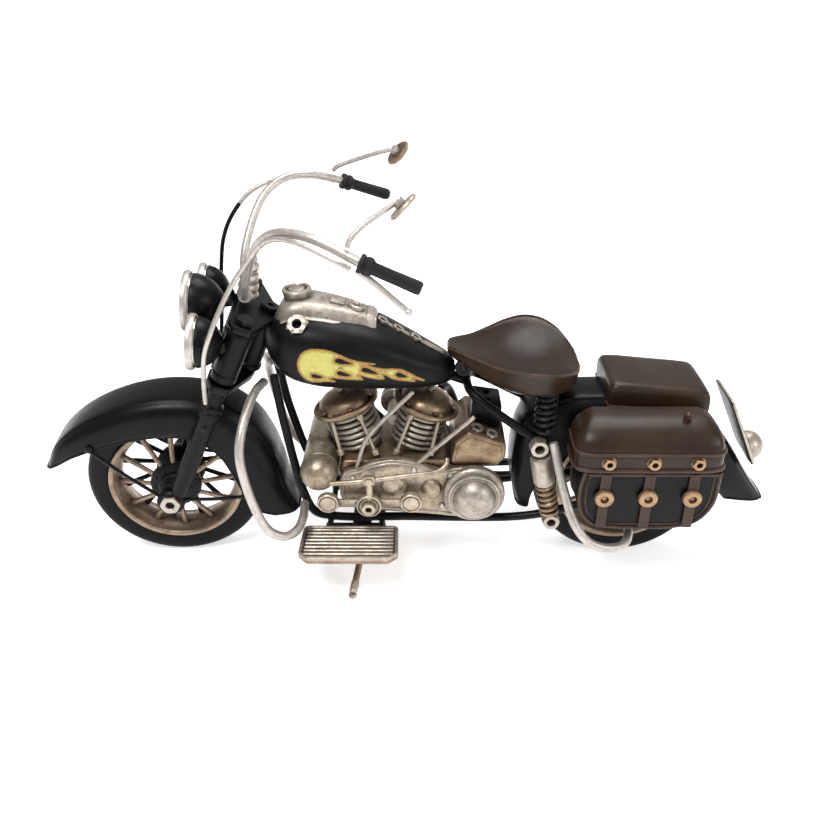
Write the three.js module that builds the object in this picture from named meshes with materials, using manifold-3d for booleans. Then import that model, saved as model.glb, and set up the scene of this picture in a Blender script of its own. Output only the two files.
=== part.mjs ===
// Tin-plate model motorcycle, millimetres, +Z up.
// Bike coordinates: the front wheel is toward -X, the rider's left side is -Y,
// the ground is Z = 0. The whole model is shifted by SHIFT_X / SHIFT_Y at the end
// so that the origin is the middle of the footprint.
import * as THREE from 'three';
import { mergeVertices } from 'three/addons/utils/BufferGeometryUtils.js';
import Module from 'manifold-3d';

const wasm = await Module();
wasm.setup();

// ---------------------------------------------------------------- dimensions
const SHIFT_X = 1.96, SHIFT_Y = 3.12;    // footprint centre in bike coordinates
const TYRE_R = 45, TYRE_SEG = 36;      // wheel outer radius, facets round the tread
const APO = TYRE_R * Math.cos(Math.PI / TYRE_SEG);
const FRONT_X = -119.2, FRONT_Z = APO + 0.18;
const REAR_X = 110.4, REAR_Z = APO;
const RAKE = THREE.MathUtils.degToRad(24.5);   // steering head angle
const STEER = THREE.MathUtils.degToRad(5);     // front end stands a little to the left
const HEAD = new THREE.Vector3(-69.5, 0, 125); // a point on the steering axis
const UP = new THREE.Vector3(Math.sin(RAKE), 0, Math.cos(RAKE));
const FORK_Y = 23, FORK_0 = [-113.5, 52.3];    // fork leg line: half spacing, lower end
const AXIS_BACK = 9.9;                 // steering axis behind the fork legs
const STEM_R = 3.0, BORE_R = 3.35, HEAD_TUBE_R = 5.6;
const LEG_R = 4.3, STANCHION_R = 4.0, COVER_R = 5.9;
const AXLE_R = 2.4, HUB_BORE_R = 2.75;
const BAR_R = 1.9, CABLE_R = 1.1, TUBE_R = 2.1, CRASH_R = 2.0;
const GAP = 0.3;                       // gap kept between pieces that rest on each other
const SHEET = 1.0;                     // fender sheet thickness
const FENDER_Y = 17.3;                 // fender half width
const LAMP_TILT = 0.113;               // lamps look slightly up

// ---------------------------------------------------------------- materials
const mat = (name, color, roughness, metalness) =>
  Object.assign(new THREE.MeshStandardMaterial({ color, roughness, metalness }), { name });
const BLACK = mat('black_paint', 0x1d1f1f, 0.55, 0.1);
const SILVER = mat('aged_silver', 0xb9b0a4, 0.42, 0.8);
const BRONZE = mat('aged_bronze', 0x8a7158, 0.45, 0.8);
const LEATHER = mat('brown_leather', 0x35251e, 0.6, 0.0);
const RUBBER = mat('black_tyre', 0x202020, 0.75, 0.0);
const GRIP = mat('grip_black', 0x1a1c1b, 0.7, 0.0);

// ---------------------------------------------------------------- helpers
const v = (x, y, z) => new THREE.Vector3(x, y, z);

function solid(geo) {
  let g = (geo.index ? geo.toNonIndexed() : geo.clone());
  for (const k of Object.keys(g.attributes)) if (k !== 'position') g.deleteAttribute(k);
  g = mergeVertices(g, 1e-4);
  const p = g.attributes.position.array, ix = g.index.array, tris = [];
  let vol = 0;
  for (let i = 0; i < ix.length; i += 3) {
    const [a, b, c] = [ix[i], ix[i + 1], ix[i + 2]];
    if (a === b || b === c || a === c) continue;
    tris.push(a, b, c);
    const A = [p[3 * a], p[3 * a + 1], p[3 * a + 2]], B = [p[3 * b], p[3 * b + 1], p[3 * b + 2]], C = [p[3 * c], p[3 * c + 1], p[3 * c + 2]];
    vol += A[0] * (B[1] * C[2] - B[2] * C[1]) - A[1] * (B[0] * C[2] - B[2] * C[0]) + A[2] * (B[0] * C[1] - B[1] * C[0]);
  }
  if (vol < 0) for (let i = 0; i < tris.length; i += 3) [tris[i + 1], tris[i + 2]] = [tris[i + 2], tris[i + 1]];
  return new wasm.Manifold(new wasm.Mesh({ numProp: 3, vertProperties: Float32Array.from(p), triVerts: Uint32Array.from(tris) }));
}
const isSolid = (s) => typeof s.getMesh === 'function';
const asSolid = (s) => (isSolid(s) ? s : solid(s));
const join = (...list) => list.flat().map(asSolid).reduce((a, b) => a.add(b));
const cut = (a, ...list) => list.flat().map(asSolid).reduce((x, b) => x.subtract(b), asSolid(a));

function toGeometry(s) {
  const m = s.getMesh(), n = m.numProp, g = new THREE.BufferGeometry();
  const pos = new Float32Array((m.vertProperties.length / n) * 3);
  for (let i = 0; i < pos.length / 3; i++) for (let k = 0; k < 3; k++) pos[3 * i + k] = m.vertProperties[i * n + k];
  g.setAttribute('position', new THREE.BufferAttribute(pos, 3));
  g.setIndex(new THREE.BufferAttribute(Uint32Array.from(m.triVerts), 1));
  g.computeVertexNormals();
  return g;
}
const bike = new THREE.Group(), front = new THREE.Group();
bike.add(front);
function piece(group, name, shape, material) {
  const mesh = new THREE.Mesh(toGeometry(asSolid(shape)), material);
  mesh.name = name;
  group.add(mesh);
  return mesh;
}
const turnTo = (geo, dir, at) => geo.applyQuaternion(new THREE.Quaternion().setFromUnitVectors(v(0, 1, 0), dir.clone().normalize())).translate(at.x, at.y, at.z);
// round bar from a to b
function rod(a, b, r, n = 10, r2 = r) {
  const d = b.clone().sub(a), g = new THREE.CylinderGeometry(r2, r, d.length(), n, 1);
  return turnTo(g, d, a.clone().add(b).multiplyScalar(0.5));
}
// solid of revolution, profile [radius, height] from `at` along `dir`
const revolve = (profile, at, dir, n = 20) =>
  turnTo(new THREE.LatheGeometry(profile.map(([r, h]) => new THREE.Vector2(r, h)), n), dir, at);
// ring of revolution with a closed profile
const ring = (profile, at, dir, n = 20) => revolve([...profile, profile[0]], at, dir, n);
// bent round tube through points
function tube(points, r, n = 8, steps = 24) {
  const s = new THREE.Shape();
  for (let i = 0; i < n; i++) { const a = 2 * Math.PI * i / n; i ? s.lineTo(r * Math.cos(a), r * Math.sin(a)) : s.moveTo(r, 0); }
  const path = new THREE.CatmullRomCurve3(points, false, 'centripetal');
  return new THREE.ExtrudeGeometry(s, { steps, bevelEnabled: false, extrudePath: path });
}
// prism along Y from an outline in X, Z
function prismY(outline, y0, y1, bevel = 0) {
  const s = new THREE.Shape(outline.map(([x, z]) => new THREE.Vector2(x, z)));
  const g = new THREE.ExtrudeGeometry(s, bevel ? { depth: y1 - y0 - 2 * bevel, bevelEnabled: true, bevelThickness: bevel, bevelSize: bevel, bevelOffset: -bevel, bevelSegments: 1 } : { depth: y1 - y0, bevelEnabled: false });
  if (bevel) g.translate(0, 0, bevel);
  return g.rotateX(Math.PI / 2).translate(0, y1, 0);
}
// prism along Z from an outline in X, Y
function prismZ(outline, z0, z1, bevel = 0) {
  const s = new THREE.Shape(outline.map(([x, y]) => new THREE.Vector2(x, y)));
  const g = new THREE.ExtrudeGeometry(s, bevel ? { depth: z1 - z0 - 2 * bevel, bevelEnabled: true, bevelThickness: bevel, bevelSize: bevel, bevelOffset: -bevel, bevelSegments: 1 } : { depth: z1 - z0, bevelEnabled: false });
  return g.translate(0, 0, z0 + (bevel ? bevel : 0));
}
const box = (x0, x1, y0, y1, z0, z1) => new THREE.BoxGeometry(x1 - x0, y1 - y0, z1 - z0).translate((x0 + x1) / 2, (y0 + y1) / 2, (z0 + z1) / 2);
const circle = (cx, cy, r, n, turn = 0) => Array.from({ length: n }, (_, i) => [cx + r * Math.cos(turn + 2 * Math.PI * i / n), cy + r * Math.sin(turn + 2 * Math.PI * i / n)]);
// hexagon nut centred on `at`, axis `dir`
function nut(at, dir, across, thick, bore = 0) {
  const rc = across / Math.sqrt(3), s = new THREE.Shape(circle(0, 0, rc, 6).map((p) => new THREE.Vector2(...p)));
  if (bore) s.holes.push(new THREE.Path(circle(0, 0, bore, 10).map((p) => new THREE.Vector2(...p))));
  const g = new THREE.ExtrudeGeometry(s, { depth: thick, bevelEnabled: false }).translate(0, 0, -thick / 2).rotateX(-Math.PI / 2);
  return turnTo(g, dir, at);
}
// closed loft through rings of points
function loft(rings) {
  const n = rings[0].length, pos = [], idx = [];
  rings.forEach((r) => r.forEach((p) => pos.push(p.x, p.y, p.z)));
  for (let i = 0; i + 1 < rings.length; i++) for (let j = 0; j < n; j++) {
    const a = i * n + j, b = i * n + (j + 1) % n, c = a + n, d = b + n;
    idx.push(a, b, d, a, d, c);
  }
  for (const [k, flip] of [[0, true], [rings.length - 1, false]]) {
    const c = rings[k].reduce((s, p) => s.add(p), v(0, 0, 0)).multiplyScalar(1 / n), ci = pos.length / 3;
    pos.push(c.x, c.y, c.z);
    for (let j = 0; j < n; j++) { const a = k * n + j, b = k * n + (j + 1) % n; flip ? idx.push(ci, b, a) : idx.push(ci, a, b); }
  }
  const g = new THREE.BufferGeometry();
  g.setAttribute('position', new THREE.BufferAttribute(Float32Array.from(pos), 3));
  g.setIndex(idx);
  return g;
}
// sheet between an outer and an inner grid of points, closed round its four edges
function sheet(outer, inner) {
  const m = outer.length, n = outer[0].length, pos = [], idx = [], at = (s, i, j) => s * m * n + i * n + j;
  for (const grid of [outer, inner]) grid.forEach((row) => row.forEach((p) => pos.push(p.x, p.y, p.z)));
  const quad = (a, b, c, d) => idx.push(a, b, c, a, c, d);
  for (let i = 0; i + 1 < m; i++) for (let j = 0; j + 1 < n; j++) {
    quad(at(0, i, j), at(0, i, j + 1), at(0, i + 1, j + 1), at(0, i + 1, j));
    quad(at(1, i, j), at(1, i + 1, j), at(1, i + 1, j + 1), at(1, i, j + 1));
  }
  for (let i = 0; i + 1 < m; i++) { quad(at(0, i, 0), at(0, i + 1, 0), at(1, i + 1, 0), at(1, i, 0)); quad(at(0, i, n - 1), at(1, i, n - 1), at(1, i + 1, n - 1), at(0, i + 1, n - 1)); }
  for (let j = 0; j + 1 < n; j++) { quad(at(0, 0, j), at(1, 0, j), at(1, 0, j + 1), at(0, 0, j + 1)); quad(at(0, m - 1, j), at(0, m - 1, j + 1), at(1, m - 1, j + 1), at(1, m - 1, j)); }
  const g = new THREE.BufferGeometry();
  g.setAttribute('position', new THREE.BufferAttribute(Float32Array.from(pos), 3));
  g.setIndex(idx);
  return g;
}
const both = (f) => [f(-1, 'left'), f(1, 'right')];
const forkAt = (t, y, back = 0) => v(FORK_0[0] + UP.x * t + back * UP.z, y, FORK_0[1] + UP.z * t - back * UP.x);

// ---------------------------------------------------------------- wheels
function wheel(group, x, z, name) {
  const c = v(x, 0, z), Y = v(0, 1, 0);
  const prof = [[32.7, -7.8], [36, -8.8], [42.6, -8.4], [45, -5.2], [45, 5.2], [42.6, 8.4], [36, 8.8], [32.7, 7.8]];
  // the lathe starts on +X of its own axis; turn it so a tread facet is straight down
  const tyre = ring(prof, v(0, 0, 0), Y, TYRE_SEG).rotateY(TYRE_SEG % 4 === 0 ? Math.PI / TYRE_SEG : 0).translate(x, 0, z);
  piece(group, `${name}_tyre`, tyre, RUBBER);
  const rim = ring([[31.0, -9.4], [33.3, -9.9], [32.3, -8.4], [32.3, 8.4], [33.3, 9.9], [31.0, 9.4]], c, Y, 30);
  piece(group, `${name}_rim`, rim, BRONZE);
  const hub = ring([[HUB_BORE_R, -13], [8.4, -13], [8.4, -11], [11.6, -10.4], [11.6, -6], [6.2, -5], [6.2, 5], [11.6, 6], [11.6, 10.4], [8.4, 11], [8.4, 13], [HUB_BORE_R, 13]], c, Y, 10);
  const spokes = [];
  for (let i = 0; i < 24; i++) {
    const a = 2 * Math.PI * (i + 0.5) / 24, s = i % 2 ? 1 : -1;
    spokes.push(rod(v(x + 10.2 * Math.cos(a), s * 8, z + 10.2 * Math.sin(a)), v(x + 30.6 * Math.cos(a), s * 3.4, z + 30.6 * Math.sin(a)), 1.1, 3));
  }
  piece(group, `${name}_spokes`, join(hub, spokes), BRONZE);
}
wheel(front, FRONT_X, FRONT_Z, 'front');
wheel(bike, REAR_X, REAR_Z, 'rear');

// ---------------------------------------------------------------- front end
const lug = (s, r) => rod(v(FRONT_X, s * 19.8, FRONT_Z), v(FRONT_X, s * 26.3, FRONT_Z), r, 12);
const forkProfile = (grow) => [[0, -4.6], [2.8, -4.4], [LEG_R, -2.4], [LEG_R, 45.5], [5.3, 46], [5.3, 52], [STANCHION_R, 52.6], [STANCHION_R, 66.6], [COVER_R, 67], [COVER_R, 92.6], [4.6, 93.6], [0, 93.6]].map(([r, t]) => [r ? r + grow : 0, t]);
both((s, side) => piece(front, `${side}_fork_leg`, cut(join(revolve(forkProfile(0), forkAt(0, s * FORK_Y), UP, 10), lug(s, 6.8)), rod(v(FRONT_X, s * 15, FRONT_Z), v(FRONT_X, s * 30, FRONT_Z), HUB_BORE_R, 8)), BLACK));
const coverGrown = both((s) => revolve([[0, 66.5], [COVER_R + GAP + 0.05, 66.5], [COVER_R + GAP + 0.05, 93.7], [0, 93.7]], forkAt(0, s * FORK_Y), UP, 14));

// a plate square to the steering axis, outline in [forward, side]
function clampPlate(outline, t0, t1) {
  const s = new THREE.Shape(outline.map((p) => new THREE.Vector2(...p)));
  const g = new THREE.ExtrudeGeometry(s, { depth: t1 - t0, bevelEnabled: false });
  const m = new THREE.Matrix4().makeBasis(v(-UP.z, 0, UP.x), v(0, -1, 0), UP.clone());
  m.setPosition(forkAt(t0, 0));
  return g.applyMatrix4(m);
}
const yoke = [[-4, -29.5], [4, -29.5], [6.8, -23], [4.5, -12], [4.5, 12], [6.8, 23], [4, 29.5], [-4, 29.5], [-13.4, 7], [-14.8, 0], [-13.4, -7]];
const stemRod = (r, t0, t1, n = 14) => rod(forkAt(t0, 0, AXIS_BACK), forkAt(t1, 0, AXIS_BACK), r, n);
piece(front, 'lower_fork_clamp', join(cut(clampPlate(yoke, 61.6, 65.4), both((s) => rod(forkAt(50, s * FORK_Y), forkAt(70, s * FORK_Y), STANCHION_R + GAP, 14))), stemRod(STEM_R, 63, 93.4)), BLACK);
piece(front, 'upper_fork_clamp', join(clampPlate(yoke, 93.9, 97.2), nut(forkAt(98.4, 0, AXIS_BACK), UP, 8.6, 2.8, 1.6), both((s) => nut(forkAt(98, s * FORK_Y), UP, 8, 2.2))), BLACK);
piece(front, 'front_axle', join(rod(v(FRONT_X, -28.6, FRONT_Z), v(FRONT_X, 28.6, FRONT_Z), AXLE_R, 8), both((s) => nut(v(FRONT_X, s * 28.8, FRONT_Z), v(0, 1, 0), 10.4, 4.2, 2.2))), SILVER);

// handlebar: one bent tube with the bead column of the riser
const barNear = [[-73.4, -5, 146.4], [-73.9, -9.6, 148.4], [-72.6, -12.4, 153.6], [-70.4, -15.5, 161], [-67, -21, 171], [-62, -29, 180], [-56, -36.5, 186], [-49.5, -43, 188.6], [-41, -49.5, 189], [-34, -53.8, 187.4], [-27, -57.6, 184.8], [-21.6, -60.2, 182.5]];
const barFar = [[-73.6, 5, 146.4], [-74.6, 9.6, 148.6], [-75.2, 12.4, 154.6], [-74.2, 15.6, 161], [-70, 24.4, 173], [-65.2, 31.6, 181], [-58.4, 38, 186], [-51.5, 44, 187], [-42.4, 50, 185.6], [-35.5, 54, 183.2], [-28.6, 57.9, 180.3]];
const pts3 = (list) => list.map(([x, y, z]) => v(x, y, z));
const barPts = [...pts3(barNear).reverse(), v(-73.2, 0, 146), ...pts3(barFar)];
const beads = [[0, -2.2], [4.6, -2.2], [5.0, 0.4], [3.4, 1.6], [4.6, 3.6], [4.6, 5.2], [3.2, 6.6], [4.4, 8.6], [4.4, 10.2], [3.0, 11.6], [4.0, 13.4], [4.0, 15], [2.6, 17.6], [0, 18.6]];
piece(front, 'handlebar', join(tube(barPts, BAR_R, 5, 36), revolve(beads, v(-73.2, 0, 145.6), v(0.2, 0, 1), 8)), SILVER);
const gripEnds = { left: [[-21.3, -60.4, 182.3], [3.2, -65.2, 172.2]], right: [[-28.2, 58.1, 180.1], [-2.4, 64.4, 169.8]] };
both((s, side) => {
  const [a, b] = pts3(gripEnds[side]), d = b.clone().sub(a).normalize();
  piece(front, `${side}_grip`, revolve([[0, 0], [4.2, 0], [4.2, 4.8], [3.2, 5.4], [3.2, 26.4], [2.4, 26.9], [0, 26.9]], a, d, 12), GRIP);
});
piece(front, 'clutch_lever', join(rod(v(-15.6, -62.2, 174.6), v(-1.7, -66, 163), 1.0, 6), revolve([[0, -1.3], [1.4, -0.7], [1.4, 0.7], [0, 1.3]], v(-1.7, -66, 163), v(1, 0, -0.8), 6)), SILVER);
const cables = {
  left: [[-24.6, -62, 180.2], [-31, -60.6, 183.4], [-39, -55.8, 186.2], [-47, -50.2, 187.6], [-54, -44.2, 186.6], [-60.5, -38.2, 182.2], [-66.3, -34, 174.8], [-74.5, -33.8, 163.8], [-82, -36.6, 150.8], [-86, -38.8, 142.4], [-89.3, -38.4, 134], [-92, -34.8, 119], [-93.7, -30.4, 104.5]],
  right: [[-31.6, 60.4, 179], [-38, 58.2, 182], [-47, 53.4, 184.2], [-55.5, 47.6, 185], [-63.6, 43.4, 184.4], [-72.8, 41.4, 180], [-82, 39, 169.8], [-87.4, 39.4, 158.4], [-90.4, 41, 144], [-91.8, 41, 131], [-92.8, 35.6, 117], [-93.9, 30.6, 105]],
};
both((s, side) => piece(front, `${side}_control_cable`, tube(pts3(cables[side]), CABLE_R, 4, 20), s < 0 ? SILVER : BLACK));
const mirrors = { left: { c: [-3.5, -48, 199.7], stem: [[-25.6, -58.4, 187.6], [-24.6, -57.9, 190.4], [-20, -55.6, 194.6], [-12.5, -51.8, 198.6]] }, right: { c: [-0.1, 48, 195.9], stem: [[-32.4, 57, 185.4], [-30.2, 57, 187.4], [-23, 55.6, 190.4], [-10, 50.8, 195.4]] } };
both((s, side) => {
  const n = v(-0.7, -s * 0.18, 0.69).normalize(), c = v(...mirrors[side].c), back = c.clone().addScaledVector(n, 2.2);
  const stem = tube([...pts3(mirrors[side].stem), back.clone().add(v(-1.2, s * 0.5, 0.4))], 1.1, 5, 7);
  piece(front, `${side}_mirror`, join(stem, revolve([[0, 0.9], [5.9, 0.9], [6.6, 0.3], [6.6, -0.5], [6.1, -0.9], [0, -0.9]], c, n, 12), nut(back, n, 4.2, 2.8)), BRONZE);
});

// lamps: bullet shell, rim and dished front in one turned piece
const lampDir = v(-1, 0, LAMP_TILT).normalize();
function lamp(r, len, at) {
  const k = r / 14.2;
  return revolve([[0, -1.6], [8 * k, -0.9], [12.2 * k, 0.6], [12.6 * k, 1.5], [r, 1.5], [r + 0.2, 0], [r, -1.2], [13.2 * k, -1.6], [13 * k, -0.32 * len], [10.9 * k, -0.62 * len], [7.2 * k, -0.84 * len], [2.8 * k, -0.98 * len], [0, -len]], at, lampDir, 14);
}
piece(front, 'headlight', join(cut(lamp(14.2, 17.4, v(-101.2, 0, 142.4))), rod(v(-87, 0, 141), v(-81.2, 0, 141.6), 2.4, 8)), BLACK);
both((s, side) => piece(front, `${side}_spot_lamp`, cut(join(lamp(12.6, 13.6, s < 0 ? v(-96.2, -26.6, 134.4) : v(-98.6, 26.8, 137.2)), rod(v(-87, s * 25.6, 133), v(-79, s * 24, 131.4), 3, 8)), coverGrown[s < 0 ? 0 : 1]), BLACK));

// fenders: crown line and skirt line, station by station
function fender(stations, widths, halfY, centre, rowF) {
  const outer = [], inner = [];
  stations.forEach(([cx, cz, sx, sz], i) => {
    const w = widths[i] * halfY, rowO = [], rowI = [];
    const din = v(centre[0] - cx, 0, centre[1] - cz).normalize();
    const list = [...rowF.map(([f, y]) => [f, -y]), ...rowF.slice().reverse().map(([f, y]) => [f, y])];
    for (const [f, y] of list) {
      rowO.push(v(sx + (cx - sx) * f, y * w, sz + (cz - sz) * f));
      const fy = Math.abs(y) > 0.9 ? 1 : Math.abs(y) > 0.7 ? 0.7 : 0.15;
      rowI.push(v(sx + (cx - sx) * f, y * w - Math.sign(y) * SHEET * fy, sz + (cz - sz) * f).addScaledVector(din, SHEET * (f > 0.9 ? 1 : f > 0.7 ? 0.75 : 0.05)));
    }
    outer.push(rowO); inner.push(rowI);
  });
  return sheet(outer, inner);
}
const section = [[0, 1], [0.72, 0.95], [0.94, 0.7], [1, 0.3]];
const frontStations = [[-180.5, 59.5, -173, 63], [-175, 71, -166, 67.5], [-165.5, 80.5, -157, 71.5], [-152.5, 88.4, -146, 75], [-135, 94.8, -132, 78], [-117, 97.2, -117.5, 79], [-101, 95.6, -104, 76], [-86, 90.4, -94, 67.5], [-74.4, 79.6, -88.5, 56], [-67.8, 66.4, -85, 46], [-63.8, 52, -81.5, 37.5], [-61.5, 40, -78, 31.5], [-57, 28.5, -70, 27.5]];
const frontFender = fender(frontStations, [0.78, 0.88, 0.96, 1, 1, 1, 1, 1, 1, 1, 1, 0.98, 0.92], FENDER_Y, [FRONT_X, 50], section);
const stays = both((s) => [tube([v(-124, s * 22.6, 47), v(-140, s * 20.6, 60), v(-156, s * 17.2, 73.2)], 0.9, 6, 4), tube([v(-113, s * 22.6, 45), v(-98, s * 21, 43.2), v(-82.4, s * 17.4, 41.6)], 0.9, 6, 4)]).flat();
piece(front, 'front_fender', cut(join(frontFender, stays), both((s) => lug(s, 6.8 + GAP)), both((s) => revolve(forkProfile(GAP), forkAt(0, s * FORK_Y), UP, 14))), BLACK);

// steer the whole front end
front.quaternion.setFromAxisAngle(UP, STEER);
front.position.copy(HEAD).sub(HEAD.clone().applyQuaternion(front.quaternion));

// ---------------------------------------------------------------- frame
const headTube = cut(ring([[BORE_R, 66.2], [6.4, 66.2], [6.4, 68.4], [HEAD_TUBE_R, 69], [HEAD_TUBE_R, 90.6], [6.4, 91.2], [6.4, 93.3], [BORE_R, 93.3]], forkAt(0, 0, AXIS_BACK), UP, 12));
const backbonePts = [v(-66.5, 0, 119), v(-56, 0, 115), v(-20, 0, 108.5), v(18, 0, 103.6), v(31, 0, 99.4)];
const stemHole = stemRod(BORE_R, 60, 100, 12);
const stayPts = (s) => [v(29.6, s * 0.5, 100.2), v(31, s * 9, 99), v(35, s * 14, 96.6), v(60, s * 21, 80.8), v(64, s * 21.4, 79.2)];
const stays2 = both((s) => tube(stayPts(s), TUBE_R, 6, 6));
piece(bike, 'main_frame', join(cut(join(headTube, tube(backbonePts, 2.6, 6, 6), rod(v(-70, 0, 112.5), v(-58, 0, 114.6), 2.2, 6)), stemHole), stays2), BLACK);

const lugRear = (s, r) => rod(v(REAR_X, s * 17.9, REAR_Z), v(REAR_X, s * 20.8, REAR_Z), r, 12);
const headGrown = rod(forkAt(64, 0, AXIS_BACK), forkAt(95, 0, AXIS_BACK), 6.4 + GAP + 0.1, 16);
both((s, side) => {
  const pts = [v(-66.4, s * 5.4, 109), v(-60, s * 9.6, 80), v(-51.5, s * 16, 42), v(-46.5, s * 16.8, 32.4), v(-37, s * 17, 29.8), v(0, s * 17, 29.6), v(52, s * 17.6, 29.8), v(70, s * 18.6, 33), v(90, s * 18.9, 39.4), v(107, s * 18.9, 44)];
  piece(bike, `${side}_cradle_tube`, cut(join(tube(pts, TUBE_R, 6, 18), lugRear(s, 5.6)), headGrown, rod(v(REAR_X, s * 10, REAR_Z), v(REAR_X, s * 30, REAR_Z), HUB_BORE_R, 8)), BLACK);
});
piece(bike, 'rear_axle', join(rod(v(REAR_X, -22.8, REAR_Z), v(REAR_X, 22.8, REAR_Z), AXLE_R, 8), both((s) => nut(v(REAR_X, s * 23.1, REAR_Z), v(0, 1, 0), 9, 3.0, 2.0))), SILVER);

// ---------------------------------------------------------------- fuel tank and dash
const tankSecs = [[-65.5, 9, 117, 131], [-62, 15, 110.5, 135], [-55, 20.5, 104.6, 137.5], [-44, 23.4, 101.2, 138], [-30, 23.6, 99.8, 135.8], [-14, 21.8, 99.2, 131.4], [0, 18.6, 99.2, 124.2], [12, 14, 99.6, 116.4], [20, 9, 100.8, 111], [24, 4.4, 102.6, 107.6]];
function tankRings(d) {
  return tankSecs.map(([x, w, z0, z1], i) => {
    const c = (z0 + z1) / 2 + (z1 - z0) * 0.02, h = (z1 - z0) / 2 - d, ww = w - d, out = [];
    const xx = x + (i === 0 ? d : i === tankSecs.length - 1 ? -d : 0);
    for (let j = 0; j < 16; j++) {
      const a = 2 * Math.PI * j / 16, ca = Math.cos(a), sa = Math.sin(a), e = sa > 0 ? 0.86 : 0.78;
      out.push(v(xx, Math.sign(ca) * Math.pow(Math.abs(ca), e) * ww, c + Math.sign(sa) * Math.pow(Math.abs(sa), e) * h));
    }
    return out;
  });
}
const tunnel = prismY([[-70, 122.6], [-55, 118.4], [-20, 111.8], [12, 107.6], [30, 104], [30, 94], [-70, 94]], -3.2, 3.2);
const sideNuts = both((s) => nut(v(-49, s * 20.8, 131.8), v(0, s, 0.42), 8.2, 4.4, 1.9));
const headRelief = [stemRod(7.1, 60, 93.4, 12), box(-80, -58.7, -30, 30, 129, 150)];
const tankShell = cut(join(loft(tankRings(0)), sideNuts), loft(tankRings(1.3)), tunnel, headRelief);
piece(bike, 'fuel_tank', tankShell, BLACK);
const dashTop = [[-60.6, 136.5, 10.5, 6.8], [-57, 141.4, 12.4, 8], [-51, 144, 13.4, 9], [-40, 143, 13, 8.4], [-26, 139.6, 11.8, 7.4], [-13.5, 135, 10.4, 6.2]];
const dashRings = dashTop.map(([x, z, w, wt]) => [v(x, -w, z - 12), v(x, -w, z - 5.4), v(x, -w + 1.6, z - 3), v(x, -wt - 1.2, z - 0.9), v(x, -wt + 1, z), v(x, wt - 1, z), v(x, wt + 1.2, z - 0.9), v(x, w - 1.6, z - 3), v(x, w, z - 5.4), v(x, w, z - 12)]);
const tankGrown = loft(tankSecs.map(([x, w, z0, z1]) => { const c = (z0 + z1) / 2 + (z1 - z0) * 0.02, h = (z1 - z0) / 2 + 0.45, out = []; for (let j = 0; j < 16; j++) { const a = 2 * Math.PI * j / 16, ca = Math.cos(a), sa = Math.sin(a), e = sa > 0 ? 0.86 : 0.78; out.push(v(x, Math.sign(ca) * Math.pow(Math.abs(ca), e) * (w + 0.35), c + Math.sign(sa) * Math.pow(Math.abs(sa), e) * h)); } return out; }));
const nutsGrown = both((s) => nut(v(-49, s * 20.8, 131.8), v(0, s, 0.42), 9, 5.2));
const capDir = v(-0.04, 0, 1);
const strapAt = (x) => 131 - (x + 12) * 0.62;
const strapDir = v(0.655, 0, 1);
const chain = join(tube([v(-15, 0, strapAt(-15) + 0.8), v(4, 0, strapAt(4) + 0.8), v(17.5, 0, strapAt(17.5) + 0.8)], 1.3, 6, 3), [-8.6, -0.8, 7].map((x) => nut(v(x, 0, strapAt(x) + 0.9), strapDir, 5.2, 2.0)));
piece(bike, 'dash_panel', cut(join(loft(dashRings), chain, revolve([[0, -4], [6, -4], [6.2, 1.6], [5.4, 2.2], [4.4, 2.0], [4.2, 1.1], [0, 1.2]], v(-50.4, 0, 144.6), capDir, 12)), tankGrown, nutsGrown, box(-80, -58.6, -30, 30, 120, 150)), SILVER);

// ---------------------------------------------------------------- engine
const casePts = [[-31, 38.5], [-33, 60], [-30.5, 62.4], [34, 62.4], [37, 60], [37, 40], [33, 36.5], [-27, 36.5]];
const crankcase = join(prismY(casePts, -20, 20, 1.5), box(-24, 28, 19.5, 25, 42, 58));
piece(bike, 'crankcase', crankcase, BRONZE);
function cylinder(name, base, dir, relief = []) {
  const prof = [[0, 0], [9.5, 0]];
  for (let i = 0; i < 6; i++) prof.push([12.9, 1.6 + i * 3.2], [11.2, 3.2 + i * 3.2]);
  prof.push([15.2, 20.6], [15.4, 22.6], [13.4, 22.8], [12.6, 24.2], [8.6, 27.9], [0, 29.8]);
  const d = dir.clone().normalize(), c = revolve(prof, base, d, 12), rods = [];
  for (const [dx, tip] of [[-9.5, -7], [9.5, 7]]) rods.push(rod(base.clone().add(v(dx * 0.9, -16.6, 1.2)), base.clone().addScaledVector(d, 21.4).add(v(tip, -10.6, 0)), 1.0, 5));
  piece(bike, name, cut(join(c, rods), box(-60, 60, -40, 40, 40, 62.7), ...relief), BRONZE);
}
cylinder('front_cylinder', v(-22.6, 0, 62.8), v(-0.32, 0, 1), [rod(v(-42.6, -40, 61), v(-42.6, 30, 61), 9.3, 20)]);
cylinder('rear_cylinder', v(6.8, 0, 62.8), v(0.3, 0, 1));
piece(bike, 'timing_cylinder', revolve([[0, -31.6], [4.6, -30.7], [7.6, -28], [9.1, -24], [9.3, -22], [8.7, -21.4], [8.7, 24], [8, 25], [0, 25]], v(-42.6, 0, 61), v(0, 1, 0), 14), BRONZE);
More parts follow.
